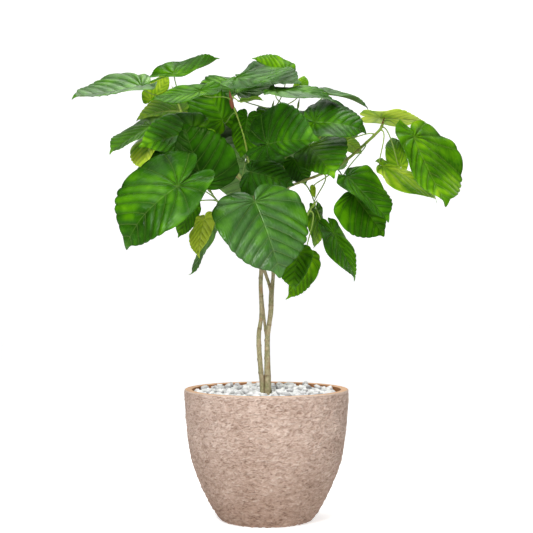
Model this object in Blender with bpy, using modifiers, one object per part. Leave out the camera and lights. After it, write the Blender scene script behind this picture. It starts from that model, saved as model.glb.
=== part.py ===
"""Potted ficus: a fig tree with big heart-shaped leaves on thin braided stems,
standing in white crushed stone in a round stone-look pot.

Metres, +Z up. The origin is the centre of the pot's flat base, and the front
of the plant looks towards -Y."""

import math
import random

import bmesh
import bpy
from mathutils import Matrix, Vector

# Pot: turned shell, radius and height of the outer wall from the rim down to the base
POT_HEIGHT = 0.302
POT_WALL = (
    (0.1900, 0.299),
    (0.1885, 0.262),
    (0.1840, 0.205),
    (0.1775, 0.160),
    (0.1680, 0.121),
    (0.1510, 0.079),
    (0.1310, 0.038),
    (0.1120, 0.009),
    (0.1040, 0.000),
)
POT_THICKNESS = 0.016
POT_FLOOR = 0.020
FLOOR_RADIUS = 0.100
INNER_WALL = ((0.1310, 0.038), (0.1510, 0.079), (0.1680, 0.121), (0.1840, 0.205))
POT_STEPS = 36
RIM_CHAMFER = 0.003

# Filling: soil, and a bed of crushed stone on it
GAP = 0.0003
SOIL_TOP = 0.262
BED_TOP = 0.282
STONE_COUNT = 70
STONE_SIZE = 0.032
STEM_FOOT = 0.205
STEM_HOLE_GAP = 0.0004

# Leaves: share of the midrib's length from the stalk to the margin, by angle from the tip
SPOKES = (0, 8, 25, 50, 77, 105, 133, 157, 173)
REACH = (1.0, 0.92, 0.85, 0.745, 0.635, 0.545, 0.49, 0.42, 0.25)
RINGS = (0.0, 0.58, 1.0)
BLADE_THICKNESS = 0.0012
STALK_RADIUS = 0.0016

# Stems and branches: centre line points (x, y, z) and radius
STEMS = {
    "stem_left": (
        (-0.0105, 0.000, STEM_FOOT, 0.0050),
        (-0.0105, 0.000, 0.300, 0.0050),
        (-0.0150, -0.003, 0.345, 0.0048),
        (-0.0185, -0.003, 0.394, 0.0046),
        (-0.0180, 0.001, 0.430, 0.0046),
        (-0.0125, 0.004, 0.466, 0.0046),
        (-0.0120, 0.003, 0.500, 0.0048),
        (-0.0135, -0.004, 0.540, 0.0048),
        (-0.0120, -0.006, 0.575, 0.0050),
        (-0.0060, -0.002, 0.640, 0.0052),
        (-0.0140, 0.004, 0.700, 0.0052),
        (-0.0300, 0.002, 0.760, 0.0050),
    ),
    "stem_right": (
        (0.0050, 0.000, STEM_FOOT, 0.0072),
        (0.0050, 0.000, 0.300, 0.0070),
        (0.0035, 0.002, 0.335, 0.0064),
        (0.0015, 0.002, 0.373, 0.0058),
        (0.0010, 0.000, 0.415, 0.0053),
        (0.0045, -0.003, 0.440, 0.0055),
        (0.0100, -0.003, 0.482, 0.0059),
        (0.0115, 0.000, 0.523, 0.0058),
        (0.0145, 0.003, 0.550, 0.0044),
        (0.0150, 0.004, 0.580, 0.0044),
        (0.0060, 0.006, 0.640, 0.0048),
        (0.0100, 0.002, 0.700, 0.0050),
        (0.0240, -0.006, 0.745, 0.0048),
    ),
    "stem_thin": (
        (0.0008, 0.001, 0.412, 0.0034),
        (-0.0025, 0.004, 0.438, 0.0032),
        (-0.0060, 0.007, 0.470, 0.0032),
        (-0.0100, 0.006, 0.510, 0.0032),
        (-0.0130, 0.000, 0.545, 0.0030),
    ),
    "stem_fork": (
        (0.0112, -0.001, 0.524, 0.0042),
        (0.0060, 0.004, 0.544, 0.0038),
        (-0.0020, 0.006, 0.568, 0.0038),
        (-0.0100, 0.002, 0.596, 0.0036),
        (-0.0080, -0.002, 0.625, 0.0034),
    ),
    "branch_left": (
        (-0.0290, 0.002, 0.755, 0.0040),
        (-0.0800, 0.004, 0.815, 0.0036),
        (-0.1400, 0.006, 0.875, 0.0034),
        (-0.1900, 0.004, 0.930, 0.0032),
        (-0.2120, 0.002, 0.985, 0.0018),
    ),
    "branch_middle": (
        (-0.0270, 0.002, 0.750, 0.0034),
        (-0.0400, -0.010, 0.820, 0.0022),
        (-0.0505, -0.025, 0.877, 0.0018),
        (-0.0680, -0.034, 0.932, 0.0017),
        (-0.0800, -0.038, 0.960, 0.0030),
        (-0.0835, -0.038, 0.980, 0.0014),
    ),
    "branch_top": (
        (0.0180, -0.002, 0.725, 0.0040),
        (0.0340, 0.014, 0.790, 0.0034),
        (0.0520, 0.016, 0.855, 0.0030),
        (0.0660, 0.010, 0.915, 0.0028),
        (0.0730, 0.008, 0.955, 0.0014),
    ),
    "branch_right": (
        (0.0210, -0.004, 0.735, 0.0042),
        (0.0467, -0.014, 0.766, 0.0032),
        (0.1236, -0.018, 0.797, 0.0031),
        (0.1760, -0.012, 0.824, 0.0036),
        (0.2530, 0.000, 0.892, 0.0036),
        (0.2680, 0.003, 0.912, 0.0036),
        (0.2730, 0.003, 0.928, 0.0014),
    ),
    "branch_back": (
        (-0.0100, 0.003, 0.685, 0.0040),
        (-0.0140, 0.045, 0.755, 0.0036),
        (-0.0180, 0.095, 0.850, 0.0032),
        (0.0080, 0.122, 0.940, 0.0026),
        (0.0140, 0.128, 0.968, 0.0014),
    ),
    "branch_back_left": (
        (-0.0500, 0.003, 0.780, 0.0036),
        (-0.1100, 0.045, 0.830, 0.0034),
        (-0.1600, 0.090, 0.880, 0.0030),
        (-0.1960, 0.126, 0.945, 0.0014),
    ),
    "branch_back_right": (
        (0.0300, 0.010, 0.775, 0.0036),
        (0.0750, 0.050, 0.820, 0.0034),
        (0.1150, 0.085, 0.870, 0.0030),
        (0.1450, 0.109, 0.933, 0.0014),
    ),
    "twig_low_left": (
        (-0.0120, 0.003, 0.695, 0.0036),
        (-0.0550, -0.030, 0.708, 0.0030),
        (-0.1000, -0.055, 0.722, 0.0026),
        (-0.1260, -0.074, 0.754, 0.0014),
    ),
    "twig_low_right": (
        (0.0110, 0.002, 0.695, 0.0036),
        (0.0500, -0.012, 0.690, 0.0030),
        (0.0850, -0.022, 0.695, 0.0026),
        (0.1050, -0.030, 0.722, 0.0014),
    ),
}
THICK_STEMS = ("stem_left", "stem_right")

# Leaves: base, tip and the way the upper side faces; then the width of each half,
# how far the lobes reach back, fold, dome, tone, the stem that carries it and how
# far along that stem it grows
LEAVES = (
    ((-0.287, -0.030, 0.996), (-0.438, -0.070, 0.965), (0.00, -0.42, 1.25),
     1.12, 1.04, 0.47, 0.34, -0.01, "mid", "branch_left", 0.93),
    ((-0.278, 0.127, 0.987), (-0.237, 0.143, 1.049), (0.72, -0.70, 0.05),
     0.68, 0.45, 0.60, -0.06, 0.08, "young", "branch_back_left", 0.86),
    ((-0.213, -0.004, 1.030), (-0.112, -0.018, 1.069), (-0.45, -0.55, 0.85),
     0.90, 0.35, 1.37, 0.21, -0.07, "mid", "branch_left", 0.97),
    ((-0.150, -0.125, 0.973), (-0.260, -0.138, 0.951), (-0.23, -0.38, 0.69),
     1.02, 0.56, 1.12, 0.22, -0.01, "mid", "branch_middle", 0.86),
    ((-0.207, 0.052, 0.952), (-0.305, 0.048, 0.929), (-0.07, 0.36, 0.66),
     0.91, 0.82, 0.64, -0.01, 0.10, "young", "branch_left", 0.88),
    ((-0.264, -0.040, 0.905), (-0.356, -0.071, 0.845), (-0.26, -0.43, 1.03),
     0.81, 1.02, 0.93, 0.08, 0.01, "dark", "branch_left", 0.72),
    ((-0.171, -0.088, 0.887), (-0.280, -0.144, 0.850), (0.35, -0.66, 0.38),
     0.59, 0.63, 1.11, 0.28, 0.03, "dark", "branch_left", 0.60),
    ((-0.253, 0.005, 0.893), (-0.277, -0.051, 0.804), (-0.56, -0.53, 0.28),
     0.53, 0.96, 0.65, 0.18, 0.09, "young", "branch_left", 0.50),
    ((-0.137, -0.169, 0.767), (-0.180, -0.172, 0.896), (-0.15, -0.84, 0.27),
     0.56, 1.02, 0.43, 0.20, 0.11, "dark", "twig_low_left", 0.95),
    ((-0.187, -0.261, 0.754), (-0.302, -0.252, 0.627), (-0.44, -1.08, 0.39),
     0.70, 0.96, 1.10, 0.02, 0.13, "mid", "twig_low_left", 0.66),
    ((-0.025, -0.193, 0.725), (0.030, -0.238, 0.566), (0.29, -0.98, 0.22),
     0.96, 0.95, 0.50, -0.07, 0.05, "dark", "stem_left", 0.86),
    ((-0.175, -0.030, 0.860), (-0.280, -0.020, 0.815), (-0.10, -0.90, 0.30),
     0.80, 0.80, 0.40, 0.10, 0.06, "mid", "branch_left", 0.40),
    ((0.004, -0.120, 0.856), (0.110, -0.197, 0.859), (-0.29, -1.20, 0.28),
     1.06, 0.54, 1.25, 0.29, 0.10, "dark", "branch_middle", 0.25),
    ((-0.066, 0.049, 1.029), (0.074, -0.051, 1.013), (-0.00, -0.23, 0.36),
     0.76, 0.64, 0.27, 0.09, -0.05, "dark", "branch_middle", 0.80),
    ((0.044, 0.130, 1.057), (-0.034, 0.124, 1.087), (0.28, -0.69, 0.80),
     0.84, 0.83, 0.73, 0.39, -0.04, "young", "branch_back", 0.97),
    ((0.078, 0.112, 1.005), (0.092, 0.123, 1.045), (-0.01, -0.21, 0.56),
     0.66, 0.84, 0.47, 0.03, 0.11, "young", "branch_back", 0.90),
    ((0.025, -0.038, 0.983), (0.170, -0.062, 0.950), (-0.04, -0.55, 1.26),
     0.27, 0.72, 0.46, 0.25, 0.08, "dark", "branch_top", 0.88),
    ((0.143, 0.054, 0.992), (0.242, 0.066, 0.960), (0.61, -0.19, 0.82),
     0.58, 0.63, 0.76, 0.31, 0.07, "dark", "branch_top", 0.80),
    ((0.109, -0.092, 0.908), (0.222, -0.098, 0.884), (-0.36, -0.87, 1.11),
     1.11, 0.91, 0.65, 0.24, 0.08, "dark", "branch_top", 0.68),
    ((0.185, 0.030, 0.875), (0.222, 0.030, 0.850), (0.30, 0.60, 0.70),
     0.90, 0.90, 0.70, 0.08, 0.06, "young", "branch_right", 0.66),
    ((0.099, -0.072, 0.855), (0.146, -0.149, 0.785), (-0.39, -1.10, 0.97),
     1.06, 0.64, 0.34, -0.10, 0.07, "dark", "branch_top", 0.56),
    ((0.266, 0.008, 0.931), (0.368, -0.006, 0.922), (-0.39, 0.15, 0.62),
     1.02, 1.02, 1.18, -0.01, 0.01, "young", "branch_right", 0.97),
    ((0.333, -0.071, 0.876), (0.395, -0.146, 0.721), (1.15, -1.56, 0.02),
     1.12, 0.42, 0.69, -0.16, -0.02, "mid", "branch_right", 0.92),
    ((0.318, 0.076, 0.826), (0.303, 0.119, 0.897), (0.17, -0.86, 0.81),
     0.63, 0.39, 0.51, -0.06, 0.09, "young", "branch_right", 0.80),
    ((0.271, 0.004, 0.817), (0.405, 0.040, 0.745), (0.14, -0.38, 0.66),
     0.38, 0.97, 0.32, 0.05, 0.06, "young", "branch_right", 0.74),
    ((0.180, -0.105, 0.785), (0.271, -0.137, 0.688), (0.54, -0.79, 0.62),
     0.88, 0.45, 0.30, 0.11, 0.01, "dark", "branch_right", 0.60),
    ((0.196, -0.067, 0.749), (0.268, -0.047, 0.655), (0.04, -0.72, 0.45),
     0.69, 1.04, 0.34, 0.20, 0.01, "dark", "branch_right", 0.44),
    ((0.155, -0.018, 0.660), (0.206, -0.031, 0.556), (0.67, -0.65, 0.98),
     0.58, 0.89, 0.90, 0.04, 0.01, "dark", "branch_right", 0.25),
    ((0.114, 0.018, 0.712), (0.116, 0.040, 0.628), (0.73, -0.58, 0.51),
     0.61, 0.85, 0.71, 0.03, 0.06, "young", "branch_right", 0.36),
    ((0.109, -0.026, 0.767), (0.110, -0.029, 0.742), (0.68, -1.05, 0.25),
     0.25, 0.79, 0.63, 0.15, 0.03, "young", "branch_right", 0.40),
    ((0.092, -0.048, 0.611), (0.046, -0.072, 0.512), (0.99, -0.89, 0.57),
     0.64, 0.30, 0.42, 0.12, 0.02, "mid", "twig_low_right", 0.88),
    ((0.070, -0.120, 0.615), (0.060, -0.140, 0.535), (-0.50, -0.80, 0.20),
     0.80, 0.80, 0.60, 0.15, 0.06, "dark", "stem_right", 0.88),
    ((-0.139, -0.101, 0.689), (-0.152, -0.140, 0.607), (-0.93, -0.98, -0.01),
     0.79, 0.57, 0.47, 0.16, 0.03, "young", "twig_low_left", 0.72),
    ((-0.131, -0.002, 0.683), (-0.179, 0.032, 0.565), (1.91, -1.11, 0.44),
     0.25, 0.28, 0.36, 0.34, 0.03, "dark", "twig_low_left", 0.50),
    ((-0.103, 0.050, 0.930), (-0.155, 0.090, 1.025), (0.00, -0.80, 0.50),
     1.00, 0.55, 0.70, 0.10, 0.06, "dark", "branch_middle", 0.62),
    ((-0.045, 0.015, 0.930), (-0.060, 0.005, 0.840), (0.10, -0.90, 0.30),
     0.90, 0.55, 0.60, 0.10, 0.06, "dark", "branch_back", 0.52),
    ((-0.035, -0.052, 0.800), (0.060, -0.080, 0.770), (0.00, -0.90, 0.30),
     0.60, 0.90, 0.40, 0.10, 0.06, "dark", "branch_top", 0.12),
    ((0.065, 0.000, 0.832), (0.090, 0.006, 0.775), (0.20, -0.90, 0.30),
     0.85, 0.85, 0.50, 0.10, 0.06, "dark", "branch_top", 0.36),
    ((0.005, 0.060, 0.825), (0.040, 0.050, 0.745), (0.00, -0.90, 0.30),
     0.80, 0.80, 0.60, 0.10, 0.06, "dark", "branch_top", 0.16),
    ((-0.054, -0.010, 0.968), (-0.006, 0.005, 0.971), (0.00, 0.20, 1.00),
     0.50, 0.50, 0.60, 0.10, 0.06, "mid", "branch_middle", 0.90),
    ((-0.172, -0.030, 0.725), (-0.202, -0.035, 0.652), (0.30, -0.90, 0.00),
     0.50, 0.50, 0.60, 0.10, 0.06, "mid", "twig_low_left", 0.80),
    ((-0.225, 0.150, 0.900), (-0.270, 0.245, 0.800), (-0.50, 0.80, 0.30),
     1.00, 1.00, 0.50, 0.12, 0.08, "dark", "branch_back_left", 0.95),
    ((-0.165, 0.180, 0.965), (-0.205, 0.300, 0.880), (-0.20, 0.90, 0.40),
     1.00, 1.00, 0.60, 0.12, 0.08, "mid", "branch_back_left", 0.80),
    ((-0.070, 0.130, 1.005), (-0.075, 0.280, 1.060), (0.00, -0.10, 1.00),
     0.90, 0.90, 0.70, 0.12, 0.08, "mid", "branch_back", 0.88),
    ((0.045, 0.175, 0.957), (0.075, 0.305, 0.972), (0.10, -0.05, 1.00),
     0.90, 0.90, 0.30, 0.12, 0.08, "dark", "branch_back", 0.78),
    ((0.140, 0.140, 0.931), (0.165, 0.260, 0.888), (0.30, 0.85, 0.40),
     1.00, 1.00, 0.70, 0.12, 0.08, "mid", "branch_back_right", 0.95),
    ((0.035, 0.160, 0.870), (0.025, 0.270, 0.780), (0.10, 0.95, 0.20),
     0.90, 0.90, 0.70, 0.12, 0.08, "dark", "branch_back", 0.60),
    ((-0.052, 0.150, 0.838), (-0.072, 0.240, 0.738), (-0.10, 0.95, 0.20),
     1.00, 1.00, 0.80, 0.12, 0.08, "mid", "branch_back", 0.40),
    ((-0.125, 0.180, 0.880), (-0.165, 0.290, 0.785), (-0.30, 0.90, 0.30),
     0.90, 0.90, 0.70, 0.12, 0.08, "dark", "branch_back_left", 0.66),
    ((0.010, 0.090, 0.730), (0.010, 0.160, 0.615), (0.10, 0.95, 0.10),
     1.00, 1.00, 0.80, 0.12, 0.08, "dark", "branch_back", 0.16),
    ((-0.225, 0.090, 0.800), (-0.290, 0.150, 0.690), (-0.40, 0.85, 0.30),
     1.00, 1.00, 0.80, 0.12, 0.08, "mid", "branch_back_left", 0.50),
    ((-0.045, 0.170, 0.925), (-0.035, 0.280, 0.845), (0.00, 0.95, 0.30),
     0.90, 0.90, 0.70, 0.12, 0.08, "dark", "branch_back", 0.80),
    ((0.135, 0.130, 0.865), (0.155, 0.220, 0.815), (0.40, 0.85, 0.30),
     0.90, 0.90, 0.70, 0.12, 0.08, "mid", "branch_back_right", 0.66),
)

TONES = {
    "dark": (0.025, 0.110, 0.018, 1.0),
    "mid": (0.060, 0.210, 0.015, 1.0),
    "young": (0.210, 0.400, 0.035, 1.0),
}


def clear_scene():
    for obj in list(bpy.data.objects):
        bpy.data.objects.remove(obj, do_unlink=True)


def new_collection(name):
    collection = bpy.data.collections.new(name)
    bpy.context.scene.collection.children.link(collection)
    return collection


def material(name, colour, roughness):
    mat = bpy.data.materials.new(name)
    mat.use_nodes = True
    shader = mat.node_tree.nodes["Principled BSDF"]
    shader.inputs["Base Color"].default_value = colour
    shader.inputs["Roughness"].default_value = roughness
    shader.inputs["Metallic"].default_value = 0.0
    return mat


def object_of(name, mesh, collection):
    obj = bpy.data.objects.new(name, mesh)
    collection.objects.link(obj)
    return obj


def baked(obj):
    """The object's mesh with its modifiers in it, which are then taken off."""
    graph = bpy.context.evaluated_depsgraph_get()
    mesh = bpy.data.meshes.new_from_object(obj.evaluated_get(graph))
    obj.modifiers.clear()
    obj.data = mesh
    return obj


def shade(mesh):
    """Smooth shading, with the real corners kept sharp."""
    mesh.shade_smooth()
    mesh.set_sharp_from_angle(angle=math.radians(50))


def smooth(points, steps):
    """Points on a Catmull-Rom curve through the given ones, radius included."""
    path = []
    last = len(points) - 1
    for i in range(last):
        p0, p1, p2, p3 = (
            Vector(points[max(i - 1, 0)]),
            Vector(points[i]),
            Vector(points[i + 1]),
            Vector(points[min(i + 2, last)]),
        )
        for k in range(steps):
            t = k / steps
            path.append(
                0.5
                * (
                    2 * p1
                    + (p2 - p0) * t
                    + (2 * p0 - 5 * p1 + 4 * p2 - p3) * t * t
                    + (3 * p1 - p0 - 3 * p2 + p3) * t**3
                )
            )
    path.append(Vector(points[last]))
    return path


def tube(name, path, collection, sides_level):
    """A closed round tube along (x, y, z, radius) points, as a mesh object."""
    curve = bpy.data.curves.new(name, "CURVE")
    curve.dimensions = "3D"
    curve.bevel_depth = 1.0
    curve.bevel_resolution = sides_level
    curve.use_fill_caps = True
    spline = curve.splines.new("POLY")
    spline.points.add(len(path) - 1)
    for point, place in zip(spline.points, path):
        point.co = (place[0], place[1], place[2], 1.0)
        point.radius = place[3]
    guide = object_of(name + "_line", curve, collection)
    graph = bpy.context.evaluated_depsgraph_get()
    mesh = bpy.data.meshes.new_from_object(guide.evaluated_get(graph))
    bpy.data.objects.remove(guide)
    bm = bmesh.new()
    bm.from_mesh(mesh)
    bmesh.ops.remove_doubles(bm, verts=bm.verts, dist=0.00001)
    bmesh.ops.recalc_face_normals(bm, faces=bm.faces)
    bm.to_mesh(mesh)
    bm.free()
    return object_of(name, mesh, collection)


def fuse(target, pieces, name):
    """Joins the pieces to the target in one Boolean union."""
    group = new_collection(name)
    for piece in pieces:
        for owner in list(piece.users_collection):
            owner.objects.unlink(piece)
        group.objects.link(piece)
    union = target.modifiers.new("Union", "BOOLEAN")
    union.operation = "UNION"
    union.operand_type = "COLLECTION"
    union.collection = group
    union.solver = "EXACT"
    baked(target)
    for piece in list(group.objects):
        bpy.data.objects.remove(piece)
    bpy.data.collections.remove(group)
    return target


def turned(name, profile, collection):
    """A shape turned about Z from its (radius, height) profile."""
    mesh = bpy.data.meshes.new(name)
    bm = bmesh.new()
    corners = [bm.verts.new((r, 0.0, z)) for r, z in profile]
    for a, b in zip(corners, corners[1:]):
        bm.edges.new((a, b))
    bm.to_mesh(mesh)
    bm.free()
    obj = object_of(name, mesh, collection)
    screw = obj.modifiers.new("Turn", "SCREW")
    screw.axis = "Z"
    screw.steps = POT_STEPS
    screw.render_steps = POT_STEPS
    screw.use_merge_vertices = True
    screw.merge_threshold = 0.00005
    return obj


def inner_radius(height):
    """Radius of the pot's inner wall at a height."""
    wall = (POT_WALL[0],) + INNER_WALL[::-1]
    for (r1, z1), (r2, z2) in zip(wall, wall[1:]):
        if z2 <= height <= z1:
            return r2 + (r1 - r2) * (height - z2) / (z1 - z2) - POT_THICKNESS
    return POT_WALL[0][0] - POT_THICKNESS


def make_pot(collection):
    rim = POT_WALL[0][0]
    profile = [(rim - POT_THICKNESS, POT_HEIGHT), (rim - RIM_CHAMFER, POT_HEIGHT)]
    profile += list(POT_WALL)
    profile += [(0.0, 0.0)]
    inside = [(r - POT_THICKNESS, z) for r, z in INNER_WALL]
    inside = [(0.0, POT_FLOOR), (FLOOR_RADIUS, POT_FLOOR)] + inside
    pot = turned("pot", profile + inside + [profile[0]], collection)
    pot.data.materials.append(material("pot_stone", (0.520, 0.395, 0.325, 1.0), 0.9))
    baked(pot)
    shade(pot.data)
    return pot


def stem_holes(collection):
    """Plain round holes that the two stems stand in."""
    holes = []
    for key in THICK_STEMS:
        x, y, _, radius = STEMS[key][0]
        bpy.ops.mesh.primitive_cylinder_add(
            vertices=12,
            radius=radius + STEM_HOLE_GAP + 0.0002,
            depth=0.2,
            location=(x, y, STEM_FOOT - GAP + 0.1),
        )
        hole = bpy.context.object
        hole.name = "hole_" + key
        hole.hide_render = True
        hole.display_type = "WIRE"
        for owner in list(hole.users_collection):
            owner.objects.unlink(hole)
        collection.objects.link(hole)
        holes.append(hole)
    return holes


def cut(obj, cutters):
    for cutter in cutters:
        hole = obj.modifiers.new("Hole", "BOOLEAN")
        hole.operation = "DIFFERENCE"
        hole.object = cutter
        hole.solver = "EXACT"
    return obj


def make_soil(collection, holes):
    wall = [(r - POT_THICKNESS - GAP, z) for r, z in reversed(INNER_WALL)]
    top = inner_radius(SOIL_TOP) - GAP
    foot = FLOOR_RADIUS - GAP
    profile = [(0.0, SOIL_TOP), (top, SOIL_TOP)] + wall
    profile += [(foot, POT_FLOOR + GAP), (0.0, POT_FLOOR + GAP)]
    soil = turned("soil", profile, collection)
    soil.data.materials.append(material("soil", (0.060, 0.040, 0.028, 1.0), 0.95))
    baked(cut(soil, holes))
    shade(soil.data)
    return soil


def make_gravel(collection, holes):
    """A thin bed with crushed stones half sunk in it, one body."""
    foot = SOIL_TOP + GAP
    bpy.ops.mesh.primitive_cylinder_add(
        vertices=POT_STEPS,
        radius=inner_radius(foot) - 0.0005,
        depth=BED_TOP - foot,
        location=(0.0, 0.0, (BED_TOP + foot) / 2),
    )
    bed = bpy.context.object
    bed.name = "gravel"
    for owner in list(bed.users_collection):
        owner.objects.unlink(bed)
    collection.objects.link(bed)
    draw = random.Random(11)
    reach = inner_radius(BED_TOP) - 0.0016
    stones = []
    for i in range(STONE_COUNT):
        # Sunflower spacing, a little shaken
        angle = i * math.radians(137.508)
        far = (reach - STONE_SIZE * 0.36) * math.sqrt((i + 0.5) / STONE_COUNT)
        x = far * math.cos(angle) + draw.uniform(-0.003, 0.003)
        y = far * math.sin(angle) + draw.uniform(-0.003, 0.003)
        size = STONE_SIZE * draw.uniform(0.75, 1.1)
        mesh = bpy.data.meshes.new("stone")
        bm = bmesh.new()
        bmesh.ops.create_cube(bm, size=size)
        turn = Matrix.Rotation(draw.uniform(0, 3.14), 3, "Z")
        turn = turn @ Matrix.Rotation(draw.uniform(0.2, 1.3), 3, "X")
        turn = turn @ Matrix.Rotation(draw.uniform(0, 3.14), 3, "Z")
        low = draw.uniform(0.0, 0.004)
        for vert in bm.verts:
            vert.co.x *= draw.uniform(0.7, 1.05)
            vert.co.y *= draw.uniform(0.6, 1.0)
            vert.co.z *= draw.uniform(0.5, 0.8)
            vert.co = turn @ vert.co + Vector((x, y, BED_TOP + 0.001 + low))
            flat = math.hypot(vert.co.x, vert.co.y)
            if flat > reach:
                vert.co.x *= reach / flat
                vert.co.y *= reach / flat
            vert.co.z = max(vert.co.z, foot + 0.004)
        bmesh.ops.triangulate(bm, faces=bm.faces)
        bm.to_mesh(mesh)
        bm.free()
        stones.append(object_of("stone_%03d" % i, mesh, collection))
    fuse(bed, stones, "stones")
    bed.data.materials.clear()
    bed.data.materials.append(material("gravel", (0.720, 0.720, 0.705, 1.0), 0.8))
    return baked(cut(bed, holes))


def make_trunk(collection):
    """The braided stems with their branches and buds, grown together as one body."""
    pieces = []
    for key, points in STEMS.items():
        pieces.append(tube(key, smooth(points, 2), collection, 1))
    trunk = fuse(pieces[0], pieces[1:], "stems")
    trunk.name = "trunk"
    trunk.data.name = "trunk"
    shade(trunk.data)
    trunk.data.materials.clear()
    trunk.data.materials.append(material("bark", (0.300, 0.290, 0.130, 1.0), 0.75))
    return trunk


def outline(angle):
    """Share of the midrib's length from the stalk to the margin."""
    angle = abs(angle)
    for a, b, ra, rb in zip(SPOKES, SPOKES[1:], REACH, REACH[1:]):
        if angle <= b:
            return ra + (rb - ra) * (angle - a) / (b - a)
    return REACH[-1]


def height(u, v, share, angle, leaf):
    """How far the blade stands above its flat plane, in midrib lengths."""
    fold, dome, phase = leaf["fold"], leaf["dome"], leaf["phase"]
    along = 4 * dome * (u * (1 - u) if u > 0 else 0.5 * u)
    across = fold * abs(v) - 0.9 * fold * v * v - 0.5 * dome * v * v
    ripple = 0.028 * share**3 * math.sin(5 * math.radians(angle) + phase)
    return along + across + ripple


def leaf_frame(base, tip, face):
    """Turns (along, across, up) of the blade into the part's frame."""
    along = (Vector(tip) - Vector(base)).normalized()
    up = Vector(face)
    up = (up - along * up.dot(along)).normalized()
    across = up.cross(along)
    turn = Matrix((along, across, up)).transposed().to_4x4()
    return Matrix.Translation(Vector(base)) @ turn


def make_leaf(number, row, collection, mats):
    base, tip, face, wide, narrow, back, fold, dome, tone, stem, place = row
    length = (Vector(tip) - Vector(base)).length
    leaf = {"fold": fold, "dome": dome, "phase": 1.7 * number}
    spokes = [-a for a in reversed(SPOKES[1:])] + list(SPOKES)
    name = "leaf_%02d" % number
    # Blade: a grid bent into a fan about the stalk's foot, then thickened
    bm = bmesh.new()
    across_count, along_count = len(spokes) - 1, len(RINGS) - 1
    bmesh.ops.create_grid(
        bm, x_segments=across_count, y_segments=along_count, size=0.5
    )
    for vert in bm.verts:
        angle = spokes[round((vert.co.x + 0.5) * across_count)]
        share = RINGS[round((vert.co.y + 0.5) * along_count)]
        far = outline(angle) * share
        u = far * math.cos(math.radians(angle))
        v = far * math.sin(math.radians(angle)) * (wide if angle > 0 else narrow)
        u *= back if u < 0 else 1.0
        vert.co = Vector((u, v, height(u, v, share, angle, leaf))) * length
    bmesh.ops.remove_doubles(bm, verts=bm.verts, dist=0.00001)
    bmesh.ops.triangulate(bm, faces=bm.faces)
    bmesh.ops.recalc_face_normals(bm, faces=bm.faces)
    if sum(f.normal.z for f in bm.faces) < 0:
        bmesh.ops.reverse_faces(bm, faces=bm.faces)
    mesh = bpy.data.meshes.new(name)
    bm.to_mesh(mesh)
    bm.free()
    blade = object_of(name, mesh, collection)
    blade.matrix_world = leaf_frame(base, tip, face)
    shell = blade.modifiers.new("Thickness", "SOLIDIFY")
    shell.thickness = BLADE_THICKNESS
    shell.offset = 0.0
    baked(blade)
    # Stalk: from the stem's surface to the underside of the blade
    frame = blade.matrix_world
    line = smooth(STEMS[stem], 2)
    at = place * (len(line) - 1)
    i = min(int(at), len(line) - 2)
    foot = line[i].lerp(line[i + 1], at - i)
    grows = (line[i + 1] - line[i]).to_3d().normalized()
    foot_place, radius = foot.to_3d(), foot[3]
    end = frame @ Vector((0.0, 0.0, -0.0010))
    out = end - foot_place
    out = (out - grows * out.dot(grows)).normalized()
    start = foot_place + out * (radius + GAP)
    reach = (end - start).length
    near = start + (out * 0.25 + grows * 0.15) * reach
    behind = frame.to_3x3() @ Vector((-0.6, 0.0, -0.8))
    far = end + behind * 0.32 * reach
    path = [(*start, STALK_RADIUS), (*(start + out * 0.004), STALK_RADIUS)]
    for k in (1, 2):
        t = k / 3
        spot = (
            start * (1 - t) ** 3
            + near * 3 * t * (1 - t) ** 2
            + far * 3 * t * t * (1 - t)
            + end * t**3
        )
        path.append((*spot, STALK_RADIUS * (1 - 0.2 * t)))
    lift = length * height(0.04, 0.0, 0.0, 0.0, leaf) - 0.0002
    root = frame @ Vector((0.04 * length, 0.0, lift))
    path.append((*root, STALK_RADIUS * 0.44))
    stalk = tube(name + "_stalk", path, collection, 0)
    fuse(blade, [stalk], name + "_join")
    blade.data.name = name
    shade(blade.data)
    blade.data.materials.clear()
    blade.data.materials.append(mats[tone])
    return blade


def main():
    clear_scene()
    plant = new_collection("potted_ficus")
    cutters = new_collection("cutters")
    holes = stem_holes(cutters)
    make_pot(plant)
    make_soil(plant, holes)
    make_gravel(plant, holes)
    make_trunk(plant)
    mats = {tone: material("leaf_" + tone, colour, 0.45) for tone, colour in TONES.items()}
    for number, row in enumerate(LEAVES, 1):
        make_leaf(number, row, plant, mats)


main()
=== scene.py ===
import math
import random

import bpy
import numpy as np
from mathutils import Matrix, Vector, noise


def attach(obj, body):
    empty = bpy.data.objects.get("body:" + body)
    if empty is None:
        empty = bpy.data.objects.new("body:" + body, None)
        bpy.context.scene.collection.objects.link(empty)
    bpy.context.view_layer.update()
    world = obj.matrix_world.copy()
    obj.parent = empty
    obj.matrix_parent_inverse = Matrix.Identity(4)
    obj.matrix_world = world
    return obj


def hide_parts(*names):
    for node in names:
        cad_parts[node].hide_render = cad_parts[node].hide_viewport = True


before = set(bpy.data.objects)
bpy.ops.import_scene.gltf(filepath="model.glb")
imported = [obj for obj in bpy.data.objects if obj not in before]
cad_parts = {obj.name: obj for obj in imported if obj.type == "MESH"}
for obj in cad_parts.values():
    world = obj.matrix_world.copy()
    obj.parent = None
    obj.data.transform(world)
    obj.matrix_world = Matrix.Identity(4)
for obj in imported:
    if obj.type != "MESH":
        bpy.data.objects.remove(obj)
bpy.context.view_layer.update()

# Camera
# The photo was taken from the front at about the height of the lowest leaves,
# with the camera level.
def new_object(name, data):
    """An object in the scene around a mesh, camera or light."""
    made = bpy.data.objects.new(name, data)
    bpy.context.scene.collection.objects.link(made)
    return made


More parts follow.
